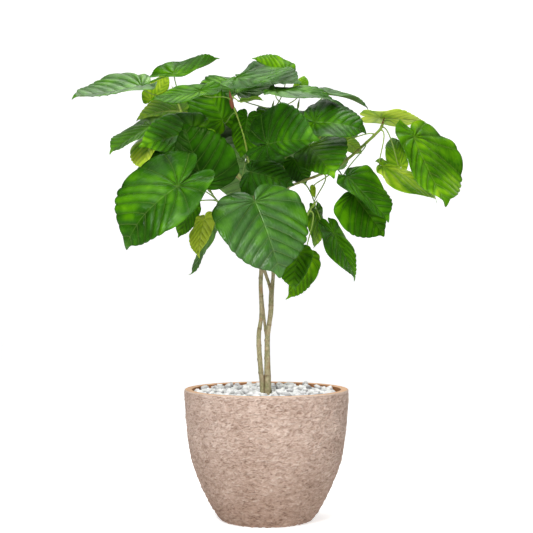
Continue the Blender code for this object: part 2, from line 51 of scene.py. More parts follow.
camera = new_object("camera", bpy.data.cameras.new("camera"))
camera.location = (0.0, -2.96, 0.585)
camera.rotation_euler = (math.radians(90), 0.0, 0.0)
camera.data.lens = 86.3
camera.data.sensor_width = 36.0
camera.data.dof.use_dof = False
bpy.context.scene.camera = camera


# Planter
# A bowl cast in stone-look fibre clay. The outer face is rough-cast, with small chips
# and dents all over. The rim is smooth peach clay with a pale worn edge outside, and
# the inner wall is bare terracotta colour. It stands free on its flat base.

# The profile as radius and height, in millimetres
OUTER_WALL = (
    (0, 0), (60, 0), (96, 0), (104, 1.4), (112, 8.5), (131, 38), (151, 79), (168, 121),
    (177.5, 160), (184, 205), (188.5, 262), (190, 298.5),
)
RIM = (
    (189.7, 300.3), (188.8, 301.4), (187.4, 302), (184, 302), (179, 302), (173.7, 302),
    (172.8, 301.6), (172.5, 300.6),
)
INNER_WALL = (
    (172.4, 292), (172.8, 277), (171.8, 262), (168, 205), (152, 121), (135, 79), (115, 38),
    (100, 20), (50, 20), (0, 20),
)
WALL_ROWS = 132
WALL_COLUMNS = 432
# Rows of the base that stay smooth, and rows over which the relief then sets in
BASE_ROWS = 3
FADE_ROWS = 6
# How the lumps of the rough cast lean, how flat they lie, how fine the lumps and the
# wider dents are, and how deep they go
RELIEF_SLANT = 2.0
RELIEF_FLATNESS = 2.1
LUMP_SCALE = 90
DENT_SCALE = 30
RELIEF_DEPTH = 0.0021


def pick(*pieces):
    """Selects these pieces alone and makes the first one active."""
    bpy.ops.object.select_all(action="DESELECT")
    for piece in pieces:
        piece.select_set(True)
    if pieces:
        bpy.context.view_layer.objects.active = pieces[0]


def grid_piece(name, columns, rows):
    """A flat grid with a UV map, ready to be bent into a shape. Returns it with its
    corner points' column and row shares, from 0 to 1."""
    pick()
    bpy.ops.mesh.primitive_grid_add(
        x_subdivisions=columns, y_subdivisions=rows, size=1.0, calc_uvs=True
    )
    piece = bpy.context.object
    piece.name = name
    piece.data.name = name
    place = np.empty(len(piece.data.vertices) * 3, np.float32)
    piece.data.vertices.foreach_get("co", place)
    place = place.reshape(-1, 3).astype(float)
    return piece, np.clip(place[:, 0] + 0.5, 0, 1), np.clip(place[:, 1] + 0.5, 0, 1)


def put_points(piece, places):
    piece.data.vertices.foreach_set("co", np.asarray(places, np.float32).ravel())
    piece.data.update()


def put_attribute(piece, name, values):
    """Gives each point of a piece its own value, or all of them the same one."""
    layer = piece.data.attributes.new(name, "FLOAT", "POINT")
    layer.data.foreach_set("value", np.full(len(layer.data), values, np.float32))


def put_materials(piece, *materials):
    piece.data.materials.clear()
    for material in materials:
        piece.data.materials.append(material)


def close_seams(piece, distance):
    """Merges the points that meet at a seam or a pole and turns the faces outwards."""
    pick(piece)
    bpy.ops.object.mode_set(mode="EDIT")
    bpy.ops.mesh.select_all(action="SELECT")
    bpy.ops.mesh.remove_doubles(threshold=distance)
    bpy.ops.mesh.normals_make_consistent(inside=False)
    bpy.ops.object.mode_set(mode="OBJECT")
    bpy.ops.object.shade_smooth()


def curve_through(points, count):
    """Evenly counted points on a smooth curve through the given ones."""
    points = np.asarray(points, float)
    last = len(points) - 1
    spots = np.linspace(0, last, count)
    index = np.minimum(spots.astype(int), last - 1)
    t = (spots - index)[:, None]
    p0 = points[np.maximum(index - 1, 0)]
    p1 = points[index]
    p2 = points[index + 1]
    p3 = points[np.minimum(index + 2, last)]
    return 0.5 * (
        2 * p1
        + (p2 - p0) * t
        + (2 * p0 - 5 * p1 + 4 * p2 - p3) * t**2
        + (3 * p1 - p0 - 3 * p2 + p3) * t**3
    )


def run_along(line):
    """How far along a line each of its points is."""
    steps = np.linalg.norm(np.diff(line, axis=0), axis=1)
    return np.concatenate(([0.0], np.cumsum(steps)))


def even_rows(line, count):
    """The same line with its points at even distances."""
    run = run_along(line)
    spots = np.linspace(0, run[-1], count)
    return np.stack([np.interp(spots, run, column) for column in line.T], 1)


def new_material(name):
    """A material with its shader, and the tree that its pattern is built in."""
    made = bpy.data.materials.new(name)
    made.use_nodes = True
    return made, made.node_tree, made.node_tree.nodes["Principled BSDF"]


def give(tree, socket, value):
    """Sets a socket to a number or colour, or links another socket to it."""
    if isinstance(value, bpy.types.NodeSocket):
        tree.links.new(value, socket)
    else:
        socket.default_value = value


def add(tree, kind, **values):
    """A new node with its inputs set by their names."""
    node = tree.nodes.new("ShaderNode" + kind)
    for name, value in values.items():
        give(tree, node.inputs[name], value)
    return node


def maths(tree, operation, *values, clamp=False):
    node = add(tree, "Math")
    node.operation = operation
    node.use_clamp = clamp
    for socket, value in zip(node.inputs, values):
        give(tree, socket, value)
    return node.outputs[0]


def noise_at(tree, vector, scale, detail=3.0, rough=0.55, distortion=0.0):
    node = add(tree, "TexNoise", Vector=vector, Scale=scale, Detail=detail)
    give(tree, node.inputs["Roughness"], rough)
    give(tree, node.inputs["Distortion"], distortion)
    return node.outputs["Fac"]


def ramp(tree, value, *stops):
    """A colour ramp: each stop is a place and a colour or a grey."""
    node = add(tree, "ValToRGB", Fac=value)
    places = node.color_ramp.elements
    while len(places) < len(stops):
        places.new(0.5)
    for element, (place, colour) in zip(places, stops):
        element.position = place
        if isinstance(colour, float):
            colour = (colour, colour, colour)
        element.color = (*colour, 1.0)
    return node.outputs["Color"]


def mix(tree, share, first, second, blend="MIX"):
    node = add(tree, "Mix")
    node.data_type = "RGBA"
    node.blend_type = blend
    give(tree, node.inputs["Factor"], share)
    for name, value in (("A", first), ("B", second)):
        socket = [s for s in node.inputs if s.name == name and s.type == "RGBA"][0]
        if isinstance(value, tuple):
            value = (*value, 1.0)
        give(tree, socket, value)
    return [s for s in node.outputs if s.type == "RGBA"][0]


def bump(tree, height, distance, strength, before=None):
    node = add(tree, "Bump", Distance=distance, Strength=strength, Height=height)
    if before is not None:
        give(tree, node.inputs["Normal"], before)
    return node.outputs["Normal"]


def coordinates(tree, kind="Object"):
    return add(tree, "TexCoord").outputs[kind]


def attribute(tree, name):
    node = add(tree, "Attribute")
    node.attribute_type = "GEOMETRY"
    node.attribute_name = name
    return node.outputs["Fac"]


def coat(tree, shader, colour, roughness, specular, normal=None):
    """Sets what a material's shader needs, each a number or another socket."""
    give(tree, shader.inputs["Base Color"], colour)
    give(tree, shader.inputs["Roughness"], roughness)
    give(tree, shader.inputs["Specular IOR Level"], specular)
    if normal is not None:
        give(tree, shader.inputs["Normal"], normal)


def cast_stone():
    """Rough-cast outer face: warm beige, darker in the pits and pale on the chipped tops,
    partly its own colour and partly painted shade and painted highlight. It is darker
    towards the foot, which is painted shade. The lumps lie flat and lean a little, as
    the trowel left them."""
    made, tree, shader = new_material("cast_stone")
    place = coordinates(tree)
    height = add(tree, "SeparateXYZ", Vector=place).outputs["Z"]
    slant = maths(tree, "MULTIPLY", height, -RELIEF_SLANT)
    turned = add(tree, "VectorRotate", Vector=place, Angle=slant)
    turned.rotation_type = "Z_AXIS"
    flat = add(tree, "Mapping", Vector=turned.outputs[0], Scale=(1.0, 1.0, RELIEF_FLATNESS))
    ripple = noise_at(tree, flat.outputs[0], 92.0, 1.3, 0.5, 1.2)
    lumps = noise_at(tree, flat.outputs[0], 230.0, 3.0, 0.6, 0.5)
    grit = noise_at(tree, place, 800.0, 2.0, 0.6)
    patches = noise_at(tree, place, 13.0, 3.0, 0.5)
    level = maths(tree, "MULTIPLY_ADD", ripple, 0.9, maths(tree, "MULTIPLY", lumps, 0.45))
    level = maths(tree, "MULTIPLY_ADD", grit, 0.08, level)
    level = maths(tree, "MULTIPLY_ADD", attribute(tree, "relief"), 0.35, level)
    # Colour by relief height: partly the cast's own colour, partly painted shade in the pits
    # and painted highlight on the tops
    colour = ramp(
        tree,
        maths(tree, "SUBTRACT", level, 0.45),
        (0.15, (0.300, 0.200, 0.150)),
        (0.36, (0.510, 0.385, 0.315)),
        (0.56, (0.640, 0.505, 0.430)),
        (0.74, (0.760, 0.650, 0.580)),
        (0.92, (0.880, 0.800, 0.750)),
    )
    shade = ramp(tree, patches, (0.30, (0.88, 0.83, 0.80)), (0.70, (1.03, 1.00, 0.99)))
    colour = mix(tree, 1.0, colour, shade, "MULTIPLY")
    # Painted shade: the colour darkens towards the foot
    foot = ramp(tree, height, (0.0, (0.66, 0.60, 0.55)), (0.22, (1.0, 1.0, 1.0)))
    colour = mix(tree, 1.0, colour, foot, "MULTIPLY")
    coarse = bump(tree, level, 0.0100, 1.0)
    coat(tree, shader, colour, 0.9, 0.2, bump(tree, grit, 0.0008, 0.5, coarse))
    return made


def clay(name, dark, light, scale, roughness):
    """Plain smooth clay with faint blotches and grains."""
    made, tree, shader = new_material(name)
    place = coordinates(tree)
    blotch = noise_at(tree, place, scale, 4.0, 0.6)
    colour = ramp(tree, blotch, (0.30, dark), (0.72, light))
    grain = noise_at(tree, place, 900.0, 2.0)
    coat(tree, shader, colour, roughness, 0.25, bump(tree, grain, 0.0005, 0.35))
    return made


outer = even_rows(curve_through(OUTER_WALL, 400), WALL_ROWS)
profile = np.concatenate((outer, RIM, INNER_WALL)) / 1000
pot, across, along = grid_piece("planter", WALL_COLUMNS, len(profile) - 1)
row = np.rint(along * (len(profile) - 1)).astype(int)
angle = across * 2 * math.pi
radius, level = profile[row, 0], profile[row, 1]
slopes = np.gradient(profile, axis=0)
slopes /= np.linalg.norm(slopes, axis=1)[:, None] + 1e-9
outward = np.stack((slopes[:, 1], -slopes[:, 0]), 1)[row]
relief = np.zeros(len(row))
for i in np.flatnonzero((row > BASE_ROWS) & (row < WALL_ROWS - 1) & (across < 1.0)):
    turn = angle[i] - RELIEF_SLANT * level[i]
    x, y = radius[i] * math.cos(turn), radius[i] * math.sin(turn)
    spot = Vector((x, y, level[i] * RELIEF_FLATNESS))
    lumps = noise.fractal(spot * LUMP_SCALE, 0.85, 2.0, 2)
    dents = noise.noise(Vector((spot.x, spot.y, level[i])) * DENT_SCALE)
    relief[i] = 1.1 * lumps + 0.45 * dents
seam = across == 1.0
first = {r: i for i, r in zip(np.flatnonzero(across == 0.0), row[across == 0.0])}
relief[seam] = [relief[first[r]] for r in row[seam]]
fade = np.clip(WALL_ROWS - 1 - row, 0, 1) * np.clip((row - BASE_ROWS) / FADE_ROWS, 0, 1)
push = RELIEF_DEPTH * (np.clip(relief, -1.2, 1.2) - 0.25) * fade
radius = np.maximum(radius + outward[:, 0] * push, 0.0)
level = np.maximum(level + outward[:, 1] * push, 0.0)
put_points(pot, np.stack((radius * np.cos(angle), radius * np.sin(angle), level), 1))
put_attribute(pot, "relief", np.clip(0.5 + 0.42 * relief, 0, 1) * fade + 0.6 * (1 - fade))
put_materials(
    pot,
    cast_stone(),
    clay("worn_edge", (0.52, 0.38, 0.30), (0.66, 0.52, 0.43), 60.0, 0.8),
    clay("rim_clay", (0.72, 0.42, 0.24), (0.82, 0.53, 0.34), 40.0, 0.8),
    clay("inner_clay", (0.26, 0.105, 0.04), (0.44, 0.20, 0.08), 70.0, 0.9),
)
for face in pot.data.polygons:
    lowest = min(row[v] for v in face.vertices)
    if lowest >= WALL_ROWS + len(RIM) - 1:
        face.material_index = 3
    elif lowest >= WALL_ROWS + 2:
        face.material_index = 2
    elif lowest >= WALL_ROWS:
        face.material_index = 1
close_seams(pot, 0.00002)
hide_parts("pot")
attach(pot, "root")


# Potting soil
# Dark crumbly compost that fills the pot under the stones. Only small gaps between
# the stones show it, so its solid stays and gets a crumbly finish.
soil, tree, shader = new_material("compost")
place = coordinates(tree)
crumbs = noise_at(tree, place, 240.0, 5.0, 0.7)
colour = ramp(tree, crumbs, (0.30, (0.018, 0.012, 0.008)), (0.72, (0.110, 0.075, 0.050)))
coat(tree, shader, colour, 0.95, 0.5, bump(tree, crumbs, 0.004, 0.8))
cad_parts["soil"].material_slots[0].material = soil


# White crushed stone
# Dry white marble chips of 12 to 20 mm, poured three deep over the soil up to a finger
# under the rim. Each is a chipped block with flat broken faces and worn corners.
CHIP_SHAPES = 7
CHIP_CUTS = 9
CHIP_SIZE = (0.0125, 0.0205)
CHIP_SHIFT = 0.0030
# Chips in a layer, where its spiral starts and its height over the bed
CHIP_LAYERS = ((300, 0.0, 0.0), (90, 1.3, 0.0060), (260, 2.4, -0.0100))
SPIRAL_STEP = math.radians(137.508)
SPIRAL_REACH = 0.965
BED_HEIGHT = 0.2870
BED_SLOPE = 0.035
BED_REACH = 0.1700
# Middle and radius of each stem's foot, and the low place in the bed before them
STEM_FEET = ((-0.0094, 0.0, 0.0068), (0.0028, 0.0, 0.0094))
LOW_SIDES = 0.022
LOW_FRONT = -0.060
LOW_BACK = 0.004
LOW_DEPTH = 0.0070

chip_draw = random.Random(23)
shapes = []
for i in range(CHIP_SHAPES):
    pick()
    bpy.ops.mesh.primitive_cube_add(size=1.0)
    chip = bpy.context.object
    bpy.ops.object.mode_set(mode="EDIT")
    for k in range(CHIP_CUTS):
        way = Vector([chip_draw.gauss(0, 1) for _ in range(3)]).normalized()
        bpy.ops.mesh.select_all(action="SELECT")
        bpy.ops.mesh.bisect(
            plane_co=way * chip_draw.uniform(0.34, 0.50),
            plane_no=way,
            use_fill=True,
            clear_outer=True,
        )
    bpy.ops.mesh.select_all(action="SELECT")
    bpy.ops.mesh.remove_doubles(threshold=0.06)
    bpy.ops.mesh.bevel(offset=0.022, segments=1, affect="EDGES")
    bpy.ops.object.mode_set(mode="OBJECT")
    shapes.append(chip)


def marble_chip(number, count, start, lift):
    """One chip of a layer, laid on a spiral, clear of the stems' feet and the wall."""
    turn = number * SPIRAL_STEP + start
    far = BED_REACH * SPIRAL_REACH * math.sqrt((number + 0.5) / count)
    spot = Vector((far * math.cos(turn), far * math.sin(turn), 0.0))
    shift = [chip_draw.uniform(-CHIP_SHIFT, CHIP_SHIFT) for _ in range(2)]
    spot += Vector((*shift, 0.0))
    size = chip_draw.uniform(*CHIP_SIZE)
    for x, y, keep in STEM_FEET:
        away = Vector((spot.x - x, spot.y - y, 0.0))
        least = keep + size * 0.42
        if away.length < least:
            spot += away.normalized() * (least - away.length)
    low = abs(spot.x) < LOW_SIDES and LOW_FRONT < spot.y < LOW_BACK
    spot.z = BED_HEIGHT + BED_SLOPE * spot.y + lift - (LOW_DEPTH if low else 0.0)
    spot.z += chip_draw.uniform(-0.0035, 0.0035)
    mesh = shapes[chip_draw.randrange(CHIP_SHAPES)].data.copy()
    tilt = (
        Matrix.Rotation(chip_draw.uniform(0, 6.28), 4, "Z")
        @ Matrix.Rotation(chip_draw.uniform(-0.7, 0.7), 4, "X")
        @ Matrix.Rotation(chip_draw.uniform(0, 6.28), 4, "Z")
    )
    squat = Matrix.Diagonal(
        (1.0, chip_draw.uniform(0.75, 1.0), chip_draw.uniform(0.60, 0.95), 1.0)
    )
    from_middle = math.hypot(spot.x, spot.y)
    limit = BED_REACH - size * 0.5
    if from_middle > limit:
        spot.x *= limit / from_middle
        spot.y *= limit / from_middle
    mesh.transform(Matrix.Translation(spot) @ tilt @ squat @ Matrix.Scale(size, 4))
    chip = new_object("chip", mesh)
    put_attribute(chip, "chip", chip_draw.random())
    # How far below its own top each point of a chip lies, for the painted shade on its sides
    heights = np.array([v.co.z for v in mesh.vertices])
    put_attribute(chip, "sunk", (heights.max() - heights) / size)
    return chip


def join(pieces, name):
    pick(*pieces)
    bpy.ops.object.join()
    joined = bpy.context.object
    joined.name = name
    joined.data.name = name
    return joined


chips = [marble_chip(n, *layer) for layer in CHIP_LAYERS for n in range(layer[0])]
for shape in shapes:
    bpy.data.objects.remove(shape)
stones = join(chips, "crushed_stone")

marble, tree, shader = new_material("white_marble")
place = coordinates(tree)
cloud = noise_at(tree, place, 90.0, 4.0, 0.6)
own = attribute(tree, "chip")
tint = maths(tree, "MULTIPLY_ADD", own, 0.5, maths(tree, "MULTIPLY", cloud, 0.6))
marble_white = ramp(
    tree,
    tint,
    (0.20, (0.520, 0.520, 0.530)),
    (0.42, (0.820, 0.815, 0.815)),
    (0.75, (0.950, 0.945, 0.935)),
)
# Painted shade: each chip darkens down its sides below its top, as if shaded by the chips
# around it
chip_painted_shade = ramp(tree, attribute(tree, "sunk"), (0.17, 0.0), (0.55, 0.78))
colour = mix(tree, chip_painted_shade, marble_white, (0.150, 0.145, 0.140))
grain = noise_at(tree, place, 700.0, 3.0, 0.7)
coat(tree, shader, colour, 0.75, 0.3, bump(tree, grain, 0.0007, 0.5))
put_materials(stones, marble)
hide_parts("gravel")
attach(stones, "root")


# Braided stems and branches
# Two living stems, each as thick as a finger, cross and lean on each other, with a thin
# third one between. The bark is thin, olive grey and tan, with brown scars where old
# leaves fell and a slight knuckle at each. It turns green on the young branches above.

# Points as x, y, z and radius in millimetres: the stems, then the branches and twigs
STEMS = {
    "stem_left": (
        (-10.5, 0, 206, 5.2), (-9.4, 0, 300, 6), (-13.2, -3, 345, 5.8),
        (-17.2, -3, 394, 5.7), (-17.6, 1, 430, 5.3), (-12.5, 4, 466, 4.6),
        (-12, 3, 500, 4.8), (-13.5, -4, 540, 4.8), (-12, -6, 575, 5), (-6, -2, 640, 5.2),
        (-14, 4, 700, 5.2), (-30, 2, 760, 5),
    ),
    "stem_right": (
        (3, 0, 206, 8.6), (2.6, 0, 300, 8.4), (2.2, 2, 340, 7.6), (1.8, 2, 373, 6.8),
        (1.8, 0, 415, 6), (4.5, -3, 440, 5.5), (10, -3, 482, 5.9), (11.5, 0, 523, 5.8),
        (14.5, 3, 550, 4.4), (15, 4, 580, 4.4), (6, 6, 640, 4.8), (10, 2, 700, 5),
        (24, -6, 745, 4.8),
    ),
    "stem_thin": (
        (0.8, 1, 412, 3.4), (-2.5, 4, 438, 3.2), (-6, 7, 470, 3.2), (-10, 6, 510, 3.2),
        (-13, 0, 545, 3),
    ),
    "stem_fork": (
        (11.2, -1, 524, 4.2), (6, 4, 544, 3.8), (-2, 6, 568, 3.8), (-10, 2, 596, 3.6),
        (-8, -2, 625, 3.4),
    ),
    "left": (
        (-29, 2, 755, 4), (-80, 4, 815, 3.6), (-140, 6, 875, 3.4), (-190, 4, 930, 3.2),
        (-212, 2, 985, 1.8),
    ),
    "middle": (
        (-27, 2, 750, 3.4), (-40, -10, 820, 2.2), (-50.5, -25, 877, 1.8),
        (-68, -34, 932, 1.7), (-80, -38, 960, 2.6), (-83.5, -38, 980, 1.4),
    ),
    "top": (
        (18, -2, 725, 4), (34, 14, 790, 3.4), (52, 16, 855, 3), (66, 10, 915, 2.8),
        (73, 8, 955, 1.4),
    ),
    "right": (
        (21, -4, 735, 4.2), (46.7, -14, 766, 3.2), (123.6, -18, 797, 3.1),
        (176, -12, 824, 3.4), (253, 0, 892, 3.2), (268, 3, 912, 3), (273, 3, 928, 1.4),
    ),
    "back": (
        (-10, 3, 685, 4), (-14, 45, 755, 3.6), (-18, 95, 850, 3.2), (8, 122, 940, 2.6),
        (14, 128, 968, 1.4),
    ),
    "back_left": (
        (-50, 3, 780, 3.6), (-110, 45, 830, 3.4), (-160, 90, 880, 3),
        (-196, 126, 945, 1.4),
    ),
    "back_right": (
        (30, 10, 775, 3.6), (75, 50, 820, 3.4), (115, 85, 870, 3), (145, 109, 933, 1.4),
    ),
    "low_left": (
        (-12, 3, 695, 3.6), (-55, -30, 708, 3), (-100, -55, 722, 2.6),
        (-126, -74, 754, 1.4),
    ),
    "low_right": (
        (11, 2, 695, 3.6), (50, -12, 690, 3), (85, -22, 695, 2.6), (105, -30, 722, 1.4),
    ),
}
STEMS = {key: np.array(points) / 1000 for key, points in STEMS.items()}
# Heights between which the bark turns green
GREEN_FROM = 0.66
GREEN_BY = 0.86
STEM_STEP = 0.0022
# Knuckles on stems and on branches: how far apart, and how much thicker
STEM_KNUCKLES = (0.030, 0.052), 0.055
BRANCH_KNUCKLES = (0.016, 0.034), 0.11
# Painted shade in the crease between the stems' feet: where it lies, how wide, how high
CREASE_AT = -0.0050
CREASE_WIDTH = 0.0014
CREASE_TOP = 0.332
SEAM = 0.00001


def tube(name, line, sides):
    """A round closed tube along (x, y, z, radius) points, bent from a grid.
    The UV map runs round it and along it."""
    piece, around, along = grid_piece(name, sides, len(line) - 1)
    row = np.rint(along * (len(line) - 1)).astype(int)
    centre, radius = line[:, :3], line[:, 3]
    ahead = np.gradient(centre, axis=0)
    ahead /= np.linalg.norm(ahead, axis=1)[:, None] + 1e-12
    side = np.zeros_like(centre)
    start = np.array((1.0, 0.0, 0.0)) if abs(ahead[0, 0]) < 0.8 else np.array((0.0, 1.0, 0.0))
    for i in range(len(centre)):
        start = start - ahead[i] * (start @ ahead[i])
        start /= np.linalg.norm(start)
        side[i] = start
    other = np.cross(ahead, side)
    turn = around * 2 * math.pi
    ring = side[row] * np.cos(turn)[:, None] + other[row] * np.sin(turn)[:, None]
    return piece, centre[row] + ring * radius[row][:, None], turn, row


def length_map(piece, line):
    """Makes the UV map's second number the distance along the tube, in metres."""
    run = run_along(line[:, :3])
    layer = piece.data.uv_layers[0].data
    spots = np.empty(len(layer) * 2, np.float32)
    layer.foreach_get("uv", spots)
    spots = spots.reshape(-1, 2)
    rows = np.rint(spots[:, 1] * (len(line) - 1)).astype(int)
    spots[:, 1] = run[np.clip(rows, 0, len(run) - 1)]
    layer.foreach_set("uv", spots.ravel())


def add_wood(piece, places, line, scar_and_shade, young, red):
    """Shapes and marks one tube of the plant's wood, and keeps it for the join."""
    put_points(piece, places)
    put_attribute(piece, "scar_and_shade", scar_and_shade)
    put_attribute(piece, "young", young)
    put_attribute(piece, "red", red)
    length_map(piece, line)
    close_seams(piece, SEAM)
    wood_parts.append(piece)


stem_draw = random.Random(7)
wood_parts = []
for key, points in STEMS.items():
    thick = key.startswith("stem")
    spacing, thicker = STEM_KNUCKLES if thick else BRANCH_KNUCKLES
    rough_line = curve_through(points, 200)
    length = run_along(rough_line[:, :3])[-1]
    line = even_rows(rough_line, max(int(length / STEM_STEP), 12))
    spots = np.linspace(0, length, len(line))
    knuckle = np.zeros(len(line))
    at = stem_draw.uniform(0.010, 0.030)
    joints = []
    while at < length - 0.006:
        joints.append((at, stem_draw.uniform(0, 6.28)))
        knuckle += np.exp(-(((spots - at) / 0.0028) ** 2))
        at += stem_draw.uniform(*spacing)
    line[:, 3] *= 1 + thicker * knuckle
    line[-1, 3] = 0.0
    line[-2, 3] *= 0.7
    piece, places, turn, row = tube(key, line, 16 if thick else 12)
    centre = line[row, :3]
    out = places - centre
    swell = np.zeros(len(row))
    scar_and_shade = np.zeros(len(row))
    for where, way in joints:
        near = np.exp(-(((spots[row] - where) / 0.0030) ** 2))
        facing = np.clip(np.cos(turn - way), 0, 1) ** 2
        swell += 0.16 * near * facing
        scar_and_shade += np.exp(-(((spots[row] - where) / 0.0016) ** 2)) * (0.35 + 0.65 * facing)
    wobble = [noise.noise(Vector(p) * 90) + 0.5 * noise.noise(Vector(p) * 300) for p in places]
    places = centre + out * (1 + swell + 0.05 * np.array(wobble))[:, None]
    young = np.clip((places[:, 2] - GREEN_FROM) / (GREEN_BY - GREEN_FROM), 0, 1)
    if thick:
        # Painted shade: a dark line down the crease where the two stems' feet meet
        crease = np.exp(-(((places[:, 0] - CREASE_AT) / CREASE_WIDTH) ** 2))
        scar_and_shade = np.maximum(scar_and_shade, 0.85 * crease * (places[:, 2] < CREASE_TOP))
    else:
        young = np.maximum(young, 0.35 + 0.65 * spots[row] / length)
    add_wood(piece, places, line, np.clip(scar_and_shade, 0, 1), young, 0.0)

bark, tree, shader = new_material("fig_bark")
place = coordinates(tree)
drawn_out = add(tree, "Mapping", Vector=place, Scale=(1.0, 1.0, 0.28)).outputs[0]
streaks = noise_at(tree, drawn_out, 520.0, 4.0, 0.6)
patches = noise_at(tree, place, 55.0, 4.0, 0.6, 0.6)
specks = noise_at(tree, place, 620.0, 2.0, 0.5)
olive = ramp(
    tree,
    streaks,
    (0.25, (0.105, 0.100, 0.038)),
    (0.50, (0.240, 0.228, 0.105)),
    (0.78, (0.420, 0.400, 0.240)),
)
tan = ramp(tree, streaks, (0.25, (0.215, 0.150, 0.075)), (0.75, (0.520, 0.440, 0.290)))
old_bark = mix(tree, ramp(tree, patches, (0.42, 0.0), (0.66, 1.0)), olive, tan)
green = ramp(tree, streaks, (0.25, (0.095, 0.165, 0.012)), (0.75, (0.225, 0.340, 0.035)))
skin = mix(tree, attribute(tree, "young"), old_bark, green)
spots = ramp(tree, specks, (0.66, 0.0), (0.72, 0.75))
skin = mix(tree, spots, skin, (0.520, 0.470, 0.330))
rust = ramp(tree, noise_at(tree, place, 34.0, 3.0, 0.6), (0.56, 0.0), (0.72, 0.65))
skin = mix(tree, rust, skin, (0.260, 0.120, 0.040))
# Brown leaf scars, and the painted shade in the crease between the stems' feet
skin = mix(tree, attribute(tree, "scar_and_shade"), skin, (0.120, 0.070, 0.030))
skin = mix(tree, attribute(tree, "red"), skin, (0.130, 0.036, 0.012))
rough_bark = bump(tree, specks, 0.0004, 0.5, bump(tree, streaks, 0.0010, 0.7))
coat(tree, shader, skin, 0.68, 0.35, rough_bark)


# Buds
# Each branch ends in a closed pointed bud, wrapped in one green sheath. Two of them
# are dry and reddish brown, as the sheath is before it drops.
BUD_ROWS = 14
BUD_RADIUS = 0.0026
BUD_LENGTH = 0.026
DRY_BUD_LENGTH = 0.036
DRY_BUD_WIDTH = 1.55
# Share of the radius at shares of the way from the foot to the tip
BUD_SHAPE = ((0.0, 0.55), (0.12, 0.95), (0.30, 1.0), (0.55, 0.78), (0.80, 0.38), (1.0, 0.0))
# The dry buds and how large they are
DRY_BUDS = {"middle": 1.20, "right": 0.62}

for key, points in STEMS.items():
    if key.startswith("stem"):
        continue
    tip = points[-1, :3]
    way = tip - points[-2, :3]
    way /= np.linalg.norm(way)
    shares = np.linspace(0, 1, BUD_ROWS)
    dry = key in DRY_BUDS
    thick = np.interp(shares, *np.transpose(BUD_SHAPE)) * BUD_RADIUS
    thick *= DRY_BUD_WIDTH if dry else 1.0
    long, back = (DRY_BUD_LENGTH, 0.80) if dry else (BUD_LENGTH, 0.12)
    long *= DRY_BUDS.get(key, 1.0)
    thick *= DRY_BUDS.get(key, 1.0)
    curl = np.array((0.0, -0.002, 0.0))
    line = np.array([tip + way * long * (s - back) + curl * s * s for s in shares])
    line = np.concatenate((line, thick[:, None]), 1)
    piece, places, turn, row = tube(key + "_bud", line, 12)
    ridge = 1 + 0.10 * np.cos(3 * turn + 6 * shares[row])
    places = line[row, :3] + (places - line[row, :3]) * ridge[:, None]
    add_wood(piece, places, line, 0.0, 1.0, 1.0 if dry else 0.0)

for piece in wood_parts:
    put_materials(piece, bark)
wood = join(wood_parts, "fig_stems")
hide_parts("trunk")
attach(wood, "root")


# Leaves
# Big thin heart-shaped leaves, each on its own slender stalk. The veins are pale and
# sunken above, so that the blade swells between them, and stand out below. The upper
# side is satin green, the underside paler and matt, and young leaves are yellow-green.

# The margin's distance from the stalk at angles from the tip, and its drawn-out point,
# in lengths of the midrib as most sizes here are
SPOKES = (0, 8, 25, 50, 77, 105, 133, 157, 173, 180)
REACH = (0.940, 0.920, 0.850, 0.745, 0.635, 0.545, 0.490, 0.420, 0.250, 0.060)
TIP_REACH = 0.080
TIP_ANGLE = 3.8
# The blade's grid: its first and last vein line, and its lines and steps. The blade's
# thickness and the stalk's radius are in metres.
LOBE_LINE = -4
TIP_LINE = 6
BLADE_LINES = 70
BLADE_STEPS = 15
BLADE_THICKNESS = 0.0006
STALK_RADIUS = 0.0016
# Side veins: how far apart they leave the midrib, how they lean forward and curve,
# the angle between two in a lobe, and a vein's width with its taper
VEIN_STEP = 0.17
VEIN_LEAN = 0.55
VEIN_CURVE = 0.60
LOBE_VEIN = math.radians(28.7)
VEIN_WIDTH = 0.0068
VEIN_TAPER = -0.0060
MIDRIB_WIDTH = 0.0120
MIDRIB_TAPER = -0.0085
# The blade's swelling between veins, its edge's small waves, and its point's droop
SWELL = 0.0200
SCALLOP = 0.030
RIPPLE = 0.028
EDGE_WAVE = 0.034
WAVE_SCALE = 2.2
TIP_DROOP = 0.05
UV_SCALE = 0.6
UV_U = 0.35
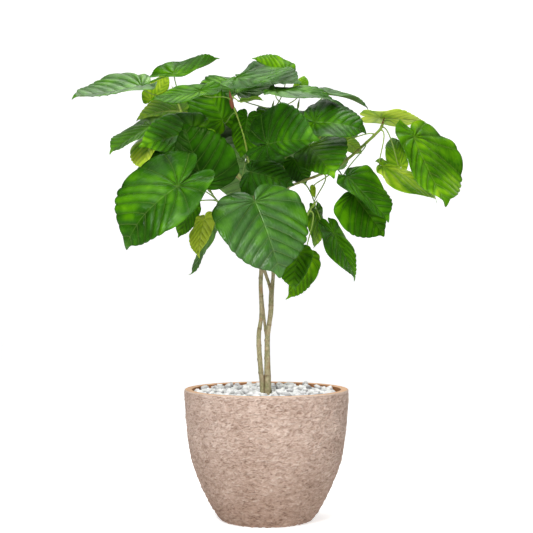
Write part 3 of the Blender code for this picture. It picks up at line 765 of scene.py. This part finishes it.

# Base and tip in millimetres, and the way the upper side faces; then the width of each
# half, how far the lobes reach back, fold, dome, age, the stem that carries it, how far
# along that stem it grows, and how light and yellow it is, from 0 to about 1.2. Tones
# over 1 reach a green paler than the leaf's own, which is painted light for young leaves
LEAVES = (
    ((-287, -30, 996), (-438, -70, 965), (0.00, -0.42, 1.25),
     1.12, 1.04, 0.47, 0.34, -0.01, "mid", "left", 0.93, 0.58),
    ((-278, 127, 987), (-237, 143, 1049), (0.72, -0.70, 0.05),
     0.68, 0.45, 0.60, -0.06, 0.08, "young", "back_left", 0.86, 1.00),
    ((-213, -4, 1030), (-112, -18, 1069), (-0.45, -0.55, 0.85),
     0.90, 0.35, 1.37, 0.21, -0.07, "mid", "left", 0.97, 0.56),
    ((-150, -125, 973), (-260, -138, 951), (-0.23, -0.38, 0.69),
     1.02, 0.56, 1.12, 0.22, -0.01, "mid", "middle", 0.86, 0.52),
    ((-207, 52, 952), (-305, 48, 929), (-0.07, 0.36, 0.66),
     0.91, 0.82, 0.64, -0.01, 0.10, "young", "left", 0.88, 0.90),
    ((-264, -40, 905), (-356, -71, 845), (-0.26, -0.43, 1.03),
     0.81, 1.02, 0.93, 0.08, 0.01, "dark", "left", 0.72, 0.62),
    ((-171, -88, 887), (-280, -144, 850), (0.35, -0.66, 0.38),
     0.59, 0.63, 1.11, 0.28, 0.03, "dark", "left", 0.60, 0.48),
    ((-253, 5, 893), (-277, -51, 804), (-0.56, -0.53, 0.28),
     0.53, 0.96, 0.65, 0.18, 0.09, "young", "left", 0.50, 1.08),
    ((-137, -169, 767), (-180, -172, 896), (-0.15, -0.84, 0.27),
     0.56, 1.02, 0.43, 0.20, 0.11, "dark", "low_left", 0.95, 0.18),
    ((-187, -261, 754), (-302, -252, 627), (-0.44, -1.08, 0.39),
     0.70, 0.96, 1.10, 0.02, 0.13, "mid", "low_left", 0.66, 0.42),
    ((-25, -193, 725), (30, -238, 566), (0.29, -0.98, 0.22),
     0.96, 0.95, 0.50, -0.07, 0.05, "dark", "stem_left", 0.86, 0.40),
    ((-175, -30, 860), (-280, -20, 815), (-0.10, -0.90, 0.30),
     0.80, 0.80, 0.40, 0.10, 0.06, "mid", "left", 0.40, 0.34),
    ((4, -120, 856), (110, -197, 859), (-0.29, -1.20, 0.28),
     1.06, 0.54, 1.25, 0.29, 0.10, "dark", "middle", 0.25, 0.30),
    ((-66, 49, 1029), (74, -51, 1013), (-0.00, -0.23, 0.36),
     0.76, 0.64, 0.27, 0.09, -0.05, "dark", "middle", 0.80, 0.46),
    ((44, 130, 1057), (-34, 124, 1087), (0.28, -0.69, 0.80),
     0.84, 0.83, 0.73, 0.39, -0.04, "young", "back", 0.97, 0.66),
    ((78, 112, 1005), (92, 123, 1045), (-0.01, -0.21, 0.56),
     0.66, 0.84, 0.47, 0.03, 0.11, "young", "back", 0.90, 0.92),
    ((25, -38, 983), (170, -62, 950), (-0.04, -0.55, 1.26),
     0.27, 0.72, 0.46, 0.25, 0.08, "dark", "top", 0.88, 0.52),
    ((143, 54, 992), (242, 66, 960), (0.61, -0.19, 0.82),
     0.58, 0.63, 0.76, 0.31, 0.07, "dark", "top", 0.80, 0.44),
    ((109, -92, 908), (222, -98, 884), (-0.36, -0.87, 1.11),
     1.11, 0.91, 0.65, 0.24, 0.08, "dark", "top", 0.68, 0.40),
    ((185, 30, 875), (222, 30, 850), (0.30, 0.60, 0.70),
     0.90, 0.90, 0.70, 0.08, 0.06, "young", "right", 0.66, 0.84),
    ((99, -72, 855), (146, -149, 785), (-0.39, -1.10, 0.97),
     1.06, 0.64, 0.34, -0.10, 0.07, "dark", "top", 0.56, 0.56),
    ((266, 8, 931), (368, -6, 922), (-0.39, 0.15, 0.62),
     1.02, 1.02, 1.18, -0.01, 0.01, "young", "right", 0.97, 1.18),
    ((333, -71, 876), (395, -146, 721), (1.15, -1.56, 0.02),
     1.12, 0.42, 0.69, -0.16, -0.02, "mid", "right", 0.92, 0.66),
    ((318, 76, 826), (303, 119, 897), (0.17, -0.86, 0.81),
     0.63, 0.39, 0.51, -0.06, 0.09, "young", "right", 0.80, 0.84),
    ((271, 4, 817), (405, 40, 745), (0.14, -0.38, 0.66),
     0.38, 0.97, 0.32, 0.05, 0.06, "young", "right", 0.74, 0.94),
    ((180, -105, 785), (271, -137, 688), (0.54, -0.79, 0.62),
     0.88, 0.45, 0.30, 0.11, 0.01, "dark", "right", 0.60, 0.42),
    ((196, -67, 749), (268, -47, 655), (0.04, -0.72, 0.45),
     0.69, 1.04, 0.34, 0.20, 0.01, "dark", "right", 0.44, 0.44),
    ((155, -18, 660), (206, -31, 556), (0.67, -0.65, 0.98),
     0.58, 0.89, 0.90, 0.04, 0.01, "dark", "right", 0.25, 0.52),
    ((114, 18, 712), (116, 40, 628), (0.73, -0.58, 0.51),
     0.61, 0.85, 0.71, 0.03, 0.06, "young", "right", 0.36, 0.82),
    ((109, -26, 767), (110, -29, 742), (0.68, -1.05, 0.25),
     0.25, 0.79, 0.63, 0.15, 0.03, "young", "right", 0.40, 1.00),
    ((92, -48, 611), (46, -72, 512), (0.99, -0.89, 0.57),
     0.64, 0.30, 0.42, 0.12, 0.02, "mid", "low_right", 0.88, 0.78),
    ((70, -120, 615), (60, -140, 535), (-0.50, -0.80, 0.20),
     0.80, 0.80, 0.60, 0.15, 0.06, "dark", "stem_right", 0.88, 0.55),
    ((-139, -101, 689), (-152, -140, 607), (-0.93, -0.98, -0.01),
     0.79, 0.57, 0.47, 0.16, 0.03, "young", "low_left", 0.72, 1.25),
    ((-131, -2, 683), (-179, 32, 565), (1.91, -1.11, 0.44),
     0.25, 0.28, 0.36, 0.34, 0.03, "dark", "low_left", 0.50, 0.62),
    ((-103, 50, 930), (-155, 90, 1025), (0.00, -0.80, 0.50),
     1.00, 0.55, 0.70, 0.10, 0.06, "dark", "middle", 0.62, 0.42),
    ((-45, 15, 930), (-60, 5, 840), (0.10, -0.90, 0.30),
     0.90, 0.55, 0.60, 0.10, 0.06, "dark", "back", 0.52, 0.42),
    ((-35, -52, 800), (60, -80, 770), (0.00, -0.90, 0.30),
     0.60, 0.90, 0.40, 0.10, 0.06, "dark", "top", 0.12, 0.36),
    ((65, 0, 832), (90, 6, 775), (0.20, -0.90, 0.30),
     0.85, 0.85, 0.50, 0.10, 0.06, "dark", "top", 0.36, 0.40),
    ((5, 60, 825), (40, 50, 745), (0.00, -0.90, 0.30),
     0.80, 0.80, 0.60, 0.10, 0.06, "dark", "top", 0.16, 0.36),
    ((-54, -10, 968), (-6, 5, 971), (0.00, 0.20, 1.00),
     0.50, 0.50, 0.60, 0.10, 0.06, "mid", "middle", 0.90, 0.86),
    ((-172, -30, 725), (-202, -35, 652), (0.30, -0.90, 0.00),
     0.50, 0.50, 0.60, 0.10, 0.06, "mid", "low_left", 0.80, 0.55),
    ((-225, 150, 900), (-270, 245, 800), (-0.50, 0.80, 0.30),
     1.00, 1.00, 0.50, 0.12, 0.08, "dark", "back_left", 0.95, 0.30),
    ((-165, 180, 965), (-205, 300, 880), (-0.20, 0.90, 0.40),
     1.00, 1.00, 0.60, 0.12, 0.08, "mid", "back_left", 0.80, 0.52),
    ((-70, 130, 1005), (-75, 280, 1060), (0.00, -0.10, 1.00),
     0.90, 0.90, 0.70, 0.12, 0.08, "mid", "back", 0.88, 0.52),
    ((45, 175, 957), (75, 305, 972), (0.10, -0.05, 1.00),
     0.90, 0.90, 0.30, 0.12, 0.08, "dark", "back", 0.78, 0.30),
    ((140, 140, 931), (165, 260, 888), (0.30, 0.85, 0.40),
     1.00, 1.00, 0.70, 0.12, 0.08, "mid", "back_right", 0.95, 0.52),
    ((35, 160, 870), (25, 270, 780), (0.10, 0.95, 0.20),
     0.90, 0.90, 0.70, 0.12, 0.08, "dark", "back", 0.60, 0.30),
    ((-52, 150, 838), (-72, 240, 738), (-0.10, 0.95, 0.20),
     1.00, 1.00, 0.80, 0.12, 0.08, "mid", "back", 0.40, 0.52),
    ((-125, 180, 880), (-165, 290, 785), (-0.30, 0.90, 0.30),
     0.90, 0.90, 0.70, 0.12, 0.08, "dark", "back_left", 0.66, 0.30),
    ((10, 90, 730), (10, 160, 615), (0.10, 0.95, 0.10),
     1.00, 1.00, 0.80, 0.12, 0.08, "dark", "back", 0.16, 0.30),
    ((-225, 90, 800), (-290, 150, 690), (-0.40, 0.85, 0.30),
     1.00, 1.00, 0.80, 0.12, 0.08, "mid", "back_left", 0.50, 0.52),
    ((-45, 170, 925), (-35, 280, 845), (0.00, 0.95, 0.30),
     0.90, 0.90, 0.70, 0.12, 0.08, "dark", "back", 0.80, 0.30),
    ((135, 130, 865), (155, 220, 815), (0.40, 0.85, 0.30),
     0.90, 0.90, 0.70, 0.12, 0.08, "mid", "back_right", 0.66, 0.52),
)


def outline(angle):
    """Distance from the stalk to the margin, in midrib lengths, at angles in degrees."""
    angle = np.abs(angle)
    curve = curve_through(np.stack((SPOKES, REACH), 1), 600)
    point = TIP_REACH * np.exp(-((angle / TIP_ANGLE) ** 2))
    return np.interp(angle, curve[:, 0], curve[:, 1]) + point


def along_vein(line, far):
    """The place (u, v) at a distance along a vein line. Lines from 0 up leave the
    midrib one after another, and lines below 0 fan out from the stalk's foot."""
    if line >= 0:
        return line * VEIN_STEP + VEIN_LEAN * far + VEIN_CURVE * far * far, far
    angle = math.atan2(1, VEIN_LEAN) - line * LOBE_VEIN
    for _ in range(6):
        v = far * np.sin(angle)
        angle = np.arctan2(1, VEIN_LEAN + VEIN_CURVE * v) - line * LOBE_VEIN
    return far * np.cos(angle), far * np.sin(angle)


def blade_map():
    """Places on one flat blade: for each vein line and each share of the way from
    the midrib to the margin on it, gives u, v, share, angle, line and distance."""
    lines = np.linspace(LOBE_LINE, TIP_LINE, BLADE_LINES + 1)
    shares = np.linspace(0, 1, BLADE_STEPS + 1) ** 0.9
    table = np.zeros((len(lines), len(shares), 6))
    tries = np.linspace(0, 1, 1601)
    for i, line in enumerate(lines):
        u, v = along_vein(line, tries)
        outside = np.hypot(u, v) > outline(np.degrees(np.arctan2(v, u)))
        reach = tries[np.argmax(outside)] if line < TIP_LINE else 0.0
        swell = 1 - abs(2 * (line - math.floor(line)) - 1) ** 2
        far = shares * reach * (1 + SCALLOP * (swell - 0.4) * shares**6)
        u, v = along_vein(line, far)
        angle = np.degrees(np.arctan2(v, u))
        share = np.hypot(u, v) / np.maximum(outline(angle), 0.05)
        table[i] = np.stack((u, v, np.minimum(share, 1), angle, np.full_like(u, line), far), 1)
    return table


def vein_group():
    """The vein pattern, worked out from the blade's UV map."""
    tree = bpy.data.node_groups.new("leaf_veins", "ShaderNodeTree")
    for name in ("Vein", "Halo", "Net", "Puff"):
        tree.interface.new_socket(name, in_out="OUTPUT", socket_type="NodeSocketFloat")
    split = add(tree, "SeparateXYZ", Vector=coordinates(tree, "UV"))
    wave = maths(tree, "SUBTRACT", noise_at(tree, coordinates(tree), 60.0, 2.0), 0.5)
    v = maths(tree, "ABSOLUTE", maths(tree, "SUBTRACT", split.outputs[0], 0.5))
    v = maths(tree, "DIVIDE", v, UV_SCALE)
    u = maths(tree, "DIVIDE", maths(tree, "SUBTRACT", split.outputs[1], UV_U), UV_SCALE)
    u = maths(tree, "MULTIPLY_ADD", wave, 0.012, u)
    slope = maths(tree, "MULTIPLY_ADD", v, VEIN_CURVE, VEIN_LEAN)
    above = maths(tree, "SUBTRACT", u, maths(tree, "MULTIPLY", v, slope))
    upper = maths(tree, "DIVIDE", above, VEIN_STEP)
    first_vein = maths(tree, "ARCTAN2", 1.0, slope)
    turn = maths(tree, "SUBTRACT", first_vein, maths(tree, "ARCTAN2", v, u))
    lower = maths(tree, "DIVIDE", turn, LOBE_VEIN)
    is_upper = maths(tree, "GREATER_THAN", above, 0.0)
    step = maths(tree, "SUBTRACT", upper, lower)
    line = maths(tree, "MULTIPLY_ADD", step, is_upper, lower)
    near = maths(tree, "PINGPONG", line, 0.5)
    square = maths(tree, "ADD", maths(tree, "MULTIPLY", u, u), maths(tree, "MULTIPLY", v, v))
    far = maths(tree, "SQRT", square)
    fan = maths(tree, "MULTIPLY", far, LOBE_VEIN)
    gap = maths(tree, "SUBTRACT", VEIN_STEP * 0.82, fan)
    unit = maths(tree, "MULTIPLY_ADD", gap, is_upper, fan)
    distance = maths(tree, "MULTIPLY", near, unit)
    width = maths(tree, "MULTIPLY_ADD", v, VEIN_TAPER, VEIN_WIDTH)
    share = maths(tree, "DIVIDE", distance, maths(tree, "MAXIMUM", width, 0.0022))
    side_vein = maths(tree, "SUBTRACT", 1.25, share, clamp=True)
    rib_width = maths(tree, "MULTIPLY_ADD", u, MIDRIB_TAPER, MIDRIB_WIDTH)
    rib = maths(tree, "SUBTRACT", 1.3, maths(tree, "DIVIDE", v, rib_width), clamp=True)
    rib = maths(tree, "MULTIPLY", rib, maths(tree, "GREATER_THAN", u, -0.004))
    halo = maths(tree, "SUBTRACT", 1.0, maths(tree, "MULTIPLY", distance, 42.0), clamp=True)
    rib_halo = maths(tree, "SUBTRACT", 1.0, maths(tree, "MULTIPLY", v, 26.0), clamp=True)
    spot = add(
        tree,
        "CombineXYZ",
        X=maths(tree, "MULTIPLY", line, 2.1),
        Y=maths(tree, "MULTIPLY", v, 30.0),
        Z=maths(tree, "MULTIPLY", attribute(tree, "tone"), 37.0),
    )
    cells = add(tree, "TexVoronoi", Vector=spot.outputs[0], Scale=1.0)
    cells.feature = "DISTANCE_TO_EDGE"
    net = maths(tree, "MULTIPLY_ADD", cells.outputs["Distance"], -9.0, 1.0, clamp=True)
    out = tree.nodes.new("NodeGroupOutput")
    give(tree, out.inputs["Vein"], maths(tree, "MAXIMUM", side_vein, rib))
    give(tree, out.inputs["Halo"], maths(tree, "MAXIMUM", halo, rib_halo))
    give(tree, out.inputs["Net"], net)
    give(tree, out.inputs["Puff"], maths(tree, "MULTIPLY", near, 2.0))
    return tree


# Greens by tone. The last stop is paler than any leaf's own green: painted light that stands in
# for light shining through young leaves in shade
LEAF_GREENS = (
    (0.00, (0.005, 0.026, 0.001)),
    (0.28, (0.016, 0.080, 0.001)),
    (0.48, (0.052, 0.178, 0.001)),
    (0.64, (0.125, 0.300, 0.003)),
    (0.80, (0.280, 0.450, 0.014)),
    (1.00, (0.500, 0.640, 0.050)),
)
veins = vein_group()


def leaf_side(name, upper, gloss, rough):
    """One side of a leaf. It is mottled, with painted shade along the veins' furrows and
    pale veins, and its sheen comes and goes."""
    made, tree, shader = new_material(name)
    place = coordinates(tree)
    pattern = add(tree, "Group")
    pattern.node_tree = veins
    vein, halo, net, puff = pattern.outputs
    tone = attribute(tree, "tone")
    blotch = noise_at(tree, place, 13.0, 3.0, 0.55)
    mottle = maths(tree, "MULTIPLY_ADD", maths(tree, "SUBTRACT", blotch, 0.5), 1.50, tone)
    # Painted shade: the colour darkens in the furrows along the veins
    furrow_painted_shade = maths(tree, "SUBTRACT", 1.0, puff)
    mottle = maths(tree, "MULTIPLY_ADD", maths(tree, "MULTIPLY", furrow_painted_shade, furrow_painted_shade), -0.27, mottle)
    flesh = ramp(tree, maths(tree, "MULTIPLY", mottle, 0.8), *LEAF_GREENS)
    lighter = ramp(tree, maths(tree, "MULTIPLY_ADD", tone, 0.8, 0.18), *LEAF_GREENS)
    pale = ramp(
        tree,
        tone,
        (0.0, (0.130, 0.230, 0.040)),
        (0.5, (0.240, 0.400, 0.080)),
        (1.0, (0.520, 0.640, 0.170)),
    )
    colour = mix(tree, maths(tree, "MULTIPLY", halo, 0.10), flesh, lighter)
    colour = mix(tree, maths(tree, "MULTIPLY", net, 0.12), colour, lighter)
    colour = mix(tree, maths(tree, "MULTIPLY", vein, 0.16 if upper else 0.45), colour, pale)
    if not upper:
        dull = maths(tree, "MULTIPLY_ADD", tone, -0.55, 0.62)
        colour = mix(tree, dull, colour, (0.215, 0.330, 0.125))
    sheen = maths(tree, "SUBTRACT", noise_at(tree, place, 24.0, 2.0, 0.5), 0.5)
    sheen = maths(tree, "MULTIPLY_ADD", sheen, 0.7, rough, clamp=True)
    blue = 0.80 if gloss > 0.1 else 0.45
    shader.inputs["Specular Tint"].default_value = (0.85, 1.0, blue, 1.0)
    level = maths(tree, "MULTIPLY_ADD", net, 0.25, maths(tree, "MULTIPLY", vein, 0.8))
    level = maths(tree, "MULTIPLY", level, -1.0 if upper else 1.2)
    grain = noise_at(tree, place, 420.0, 3.0, 0.6)
    level = maths(tree, "MULTIPLY_ADD", grain, 0.30, level)
    coat(tree, shader, colour, sheen, gloss, bump(tree, level, 0.0012, 0.90))
    return made


def stalk_skin():
    """Smooth green, lighter on the stalk of a young leaf."""
    made, tree, shader = new_material("leaf_stalk")
    place = coordinates(tree)
    tone = attribute(tree, "tone")
    streak = noise_at(tree, place, 180.0, 3.0)
    level = maths(tree, "MULTIPLY_ADD", streak, 0.5, maths(tree, "MULTIPLY", tone, 0.5))
    colour = ramp(
        tree,
        level,
        (0.20, (0.060, 0.140, 0.012)),
        (0.50, (0.140, 0.260, 0.028)),
        (0.85, (0.330, 0.430, 0.080)),
    )
    coat(tree, shader, colour, 0.5, 0.35, bump(tree, streak, 0.0004, 0.4))
    return made


def blade_height(u, v, share, angle, fold, dome, phase):
    """How far the blade stands above its flat plane, in midrib lengths."""
    along = 4 * dome * np.where(u > 0, u * (1 - u), 0.5 * u)
    across = fold * np.abs(v) - 0.9 * fold * v * v - 0.5 * dome * v * v
    return along + across + RIPPLE * share**3 * np.sin(5 * np.radians(angle) + phase)


half = blade_map()
table = np.concatenate((half[:, :0:-1], half), 1)
side = np.ones(table.shape[:2])
side[:, :BLADE_STEPS] = -1
satin = leaf_side("leaf_upper", True, 0.12, 0.30)
shiny = leaf_side("leaf_upper_shiny", True, 0.50, 0.38)
dull = leaf_side("leaf_upper_dull", True, 0.05, 0.25)
underside = leaf_side("leaf_underside", False, 0.12, 0.50)
stalk_green = stalk_skin()
# Leaves with more sheen and with less, by their numbers
SHINY = (1, 6, 11, 17, 18, 34)
DULL = (3, 4, 5, 9, 15, 27, 28, 29, 31, 35, 36, 44, 45, 52)
for number, row in enumerate(LEAVES, 1):
    base, tip, face, wide, narrow, back, fold, dome, age, stem, place, tone = row
    base, tip = (Vector([n / 1000 for n in point]) for point in (base, tip))
    length = (tip - base).length
    ahead = (tip - base).normalized()
    up = Vector(face)
    up = (up - ahead * up.dot(ahead)).normalized()
    aside = up.cross(ahead)
    stand = Matrix.Translation(base) @ Matrix((ahead, aside, up)).transposed().to_4x4()
    leaf_draw = random.Random(number)
    phase = 1.7 * number

    # Blade, from one grid whose lines run along the veins
    blade, across, along = grid_piece("blade", BLADE_LINES, BLADE_STEPS * 2)
    i = np.rint(across * BLADE_LINES).astype(int)
    j = np.rint(along * BLADE_STEPS * 2).astype(int)
    u, v, share, angle, line, far = table[i, j].T
    v = v * side[i, j]
    angle = angle * side[i, j]
    part = line - np.floor(line)
    puff = (4 * part * (1 - part)) ** 0.8 * np.clip(far / 0.10, 0, 1) * (1 - 0.4 * share**4)
    u_set = u * np.where(u < 0, back, 1.0)
    v_set = v * np.where(v > 0, wide, narrow)
    lift = blade_height(u_set, v_set, share, angle, fold, dome, phase)
    shift = Vector((leaf_draw.uniform(0, 50), leaf_draw.uniform(0, 50), number))
    spots = [Vector((a * WAVE_SCALE, b * WAVE_SCALE, 0)) for a, b in zip(u, v)]
    wave = np.array([noise.noise(spot + shift) for spot in spots])
    puff = puff * np.clip(1.0 + 1.3 * wave, 0.25, 1.8)
    lift = lift + SWELL * leaf_draw.uniform(0.55, 1.10) * puff + EDGE_WAVE * share**1.5 * wave
    lift = lift - TIP_DROOP * np.clip((u - 0.90) / 0.12, 0, 1) ** 2
    put_points(blade, np.stack((u_set, v_set, lift), 1) * length)
    layer = blade.data.uv_layers[0].data
    corner = np.empty(len(blade.data.loops), np.int32)
    blade.data.loops.foreach_get("vertex_index", corner)
    spots = np.stack((0.5 + UV_SCALE * v, UV_U + UV_SCALE * u), 1)[corner]
    layer.foreach_set("uv", spots.astype(np.float32).ravel())
    upper = shiny if number in SHINY else dull if number in DULL else satin
    put_materials(blade, upper, underside)
    close_seams(blade, SEAM)
    if sum(f.normal.z for f in blade.data.polygons) < 0:
        blade.data.flip_normals()
    shell = blade.modifiers.new("Thickness", "SOLIDIFY")
    shell.thickness = BLADE_THICKNESS
    shell.offset = 0.0
    shell.material_offset = 1
    bpy.ops.object.modifier_apply(modifier=shell.name)
    blade.data.transform(stand)

    # Stalk and midrib, one slender tube from the stem to near the tip
    path = curve_through(STEMS[stem], 2 * len(STEMS[stem]) - 1)
    at = place * (len(path) - 1)
    k = min(int(at), len(path) - 2)
    foot = path[k] * (1 - (at - k)) + path[k + 1] * (at - k)
    grows = Vector((path[k + 1] - path[k])[:3]).normalized()
    foot_place, foot_radius = Vector(foot[:3]), foot[3]
    end = stand @ Vector((0.0, 0.0, -0.0012))
    out = end - foot_place
    out = (out - grows * out.dot(grows)).normalized()
    start = foot_place + out * foot_radius * 0.7
    reach = (end - start).length
    near = start + (out * 0.25 + grows * 0.15) * reach
    arrive = end + (stand.to_3x3() @ Vector((-0.6, 0.0, -0.8))) * 0.32 * reach
    points = []
    for t in np.linspace(0, 1, 22):
        spot = start * (1 - t) ** 3 + near * 3 * t * (1 - t) ** 2
        spot += arrive * 3 * t * t * (1 - t) + end * t**3
        swell = 0.75 * math.exp(-((t * reach / 0.005) ** 2))
        swell += 0.20 * math.exp(-(((1 - t) * reach / 0.006) ** 2))
        points.append((*spot, STALK_RADIUS * (0.95 - 0.15 * t + swell)))
    for u in np.linspace(0.03, 0.90, 16):
        lift = blade_height(np.array(u), np.array(0.0), u, 0.0, fold, dome, phase)
        radius = STALK_RADIUS * (0.85 - 0.72 * u)
        wave = noise.noise(Vector((u * WAVE_SCALE, 0, 0)) + shift)
        lift = float(lift) + EDGE_WAVE * u**1.5 * wave
        under = radius * 0.88 + BLADE_THICKNESS / 2
        spot = stand @ Vector((u * length, 0.0, lift * length - under))
        points.append((*spot, radius))
    line = np.array(points)
    stalk, places = tube("stalk", line, 8)[:2]
    put_points(stalk, places)
    length_map(stalk, line)
    put_materials(stalk, stalk_green)
    close_seams(stalk, 0.000005)
    leaf = join([blade, stalk], "fig_leaf_%02d" % number)
    put_attribute(leaf, "tone", tone)
    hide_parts("leaf_%02d" % number)
    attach(leaf, "root")


# Studio
# A pale seamless floor that curves up behind the plant, with a wide soft light above
# and behind it, a strong soft one from the front left, and a weak one from the right.
FLOOR_SIZE = 14.0
FLOOR_FRONT = -4.5
BEND_START = 4.3
BEND_RADIUS = 1.2
FLOOR_GAP = 0.0004
floor, across, along = grid_piece("floor", 8, 60)
run = along * FLOOR_SIZE + FLOOR_FRONT
bend = np.clip((run - BEND_START) / BEND_RADIUS, 0, math.pi / 2)
depth = np.minimum(run, BEND_START) + BEND_RADIUS * np.sin(bend)
height = BEND_RADIUS * (1 - np.cos(bend))
height += np.maximum(run - BEND_START - BEND_RADIUS * math.pi / 2, 0)
put_points(floor, np.stack(((across - 0.5) * FLOOR_SIZE, depth, height - FLOOR_GAP), 1))
pick(floor)
bpy.ops.object.shade_smooth()
paper, tree, shader = new_material("studio_paper")
weave = noise_at(tree, coordinates(tree), 3.0, 2.0)
coat(tree, shader, ramp(tree, weave, (0.3, 0.86), (0.7, 0.88)), 0.9, 0.1)
shader.inputs["Emission Color"].default_value = (1.0, 1.0, 1.0, 1.0)
shader.inputs["Emission Strength"].default_value = 0.56
put_materials(floor, paper)


def softbox(name, place, aim, width, height, power):
    lamp = new_object(name, bpy.data.lights.new(name, "AREA"))
    lamp.data.shape = "RECTANGLE"
    lamp.data.size = width
    lamp.data.size_y = height
    lamp.data.energy = power
    lamp.location = place
    lamp.rotation_euler = (Vector(aim) - Vector(place)).to_track_quat("-Z", "Y").to_euler()


softbox("top_light", (0.0, 0.7, 2.9), (0.0, 0.0, 0.6), 1.8, 1.0, 45)
softbox("key_light", (-0.80, -2.6, 2.3), (0.0, 0.0, 0.6), 1.3, 1.3, 116)
softbox("fill_light", (1.9, -2.5, 1.2), (0.0, 0.0, 0.5), 0.8, 1.2, 34)
world = bpy.data.worlds.new("studio")
bpy.context.scene.world = world
world.use_nodes = True
background = world.node_tree.nodes["Background"]
background.inputs["Color"].default_value = (1.0, 1.0, 1.0, 1.0)
background.inputs["Strength"].default_value = 0.09
bpy.context.scene.view_settings.view_transform = "Standard"
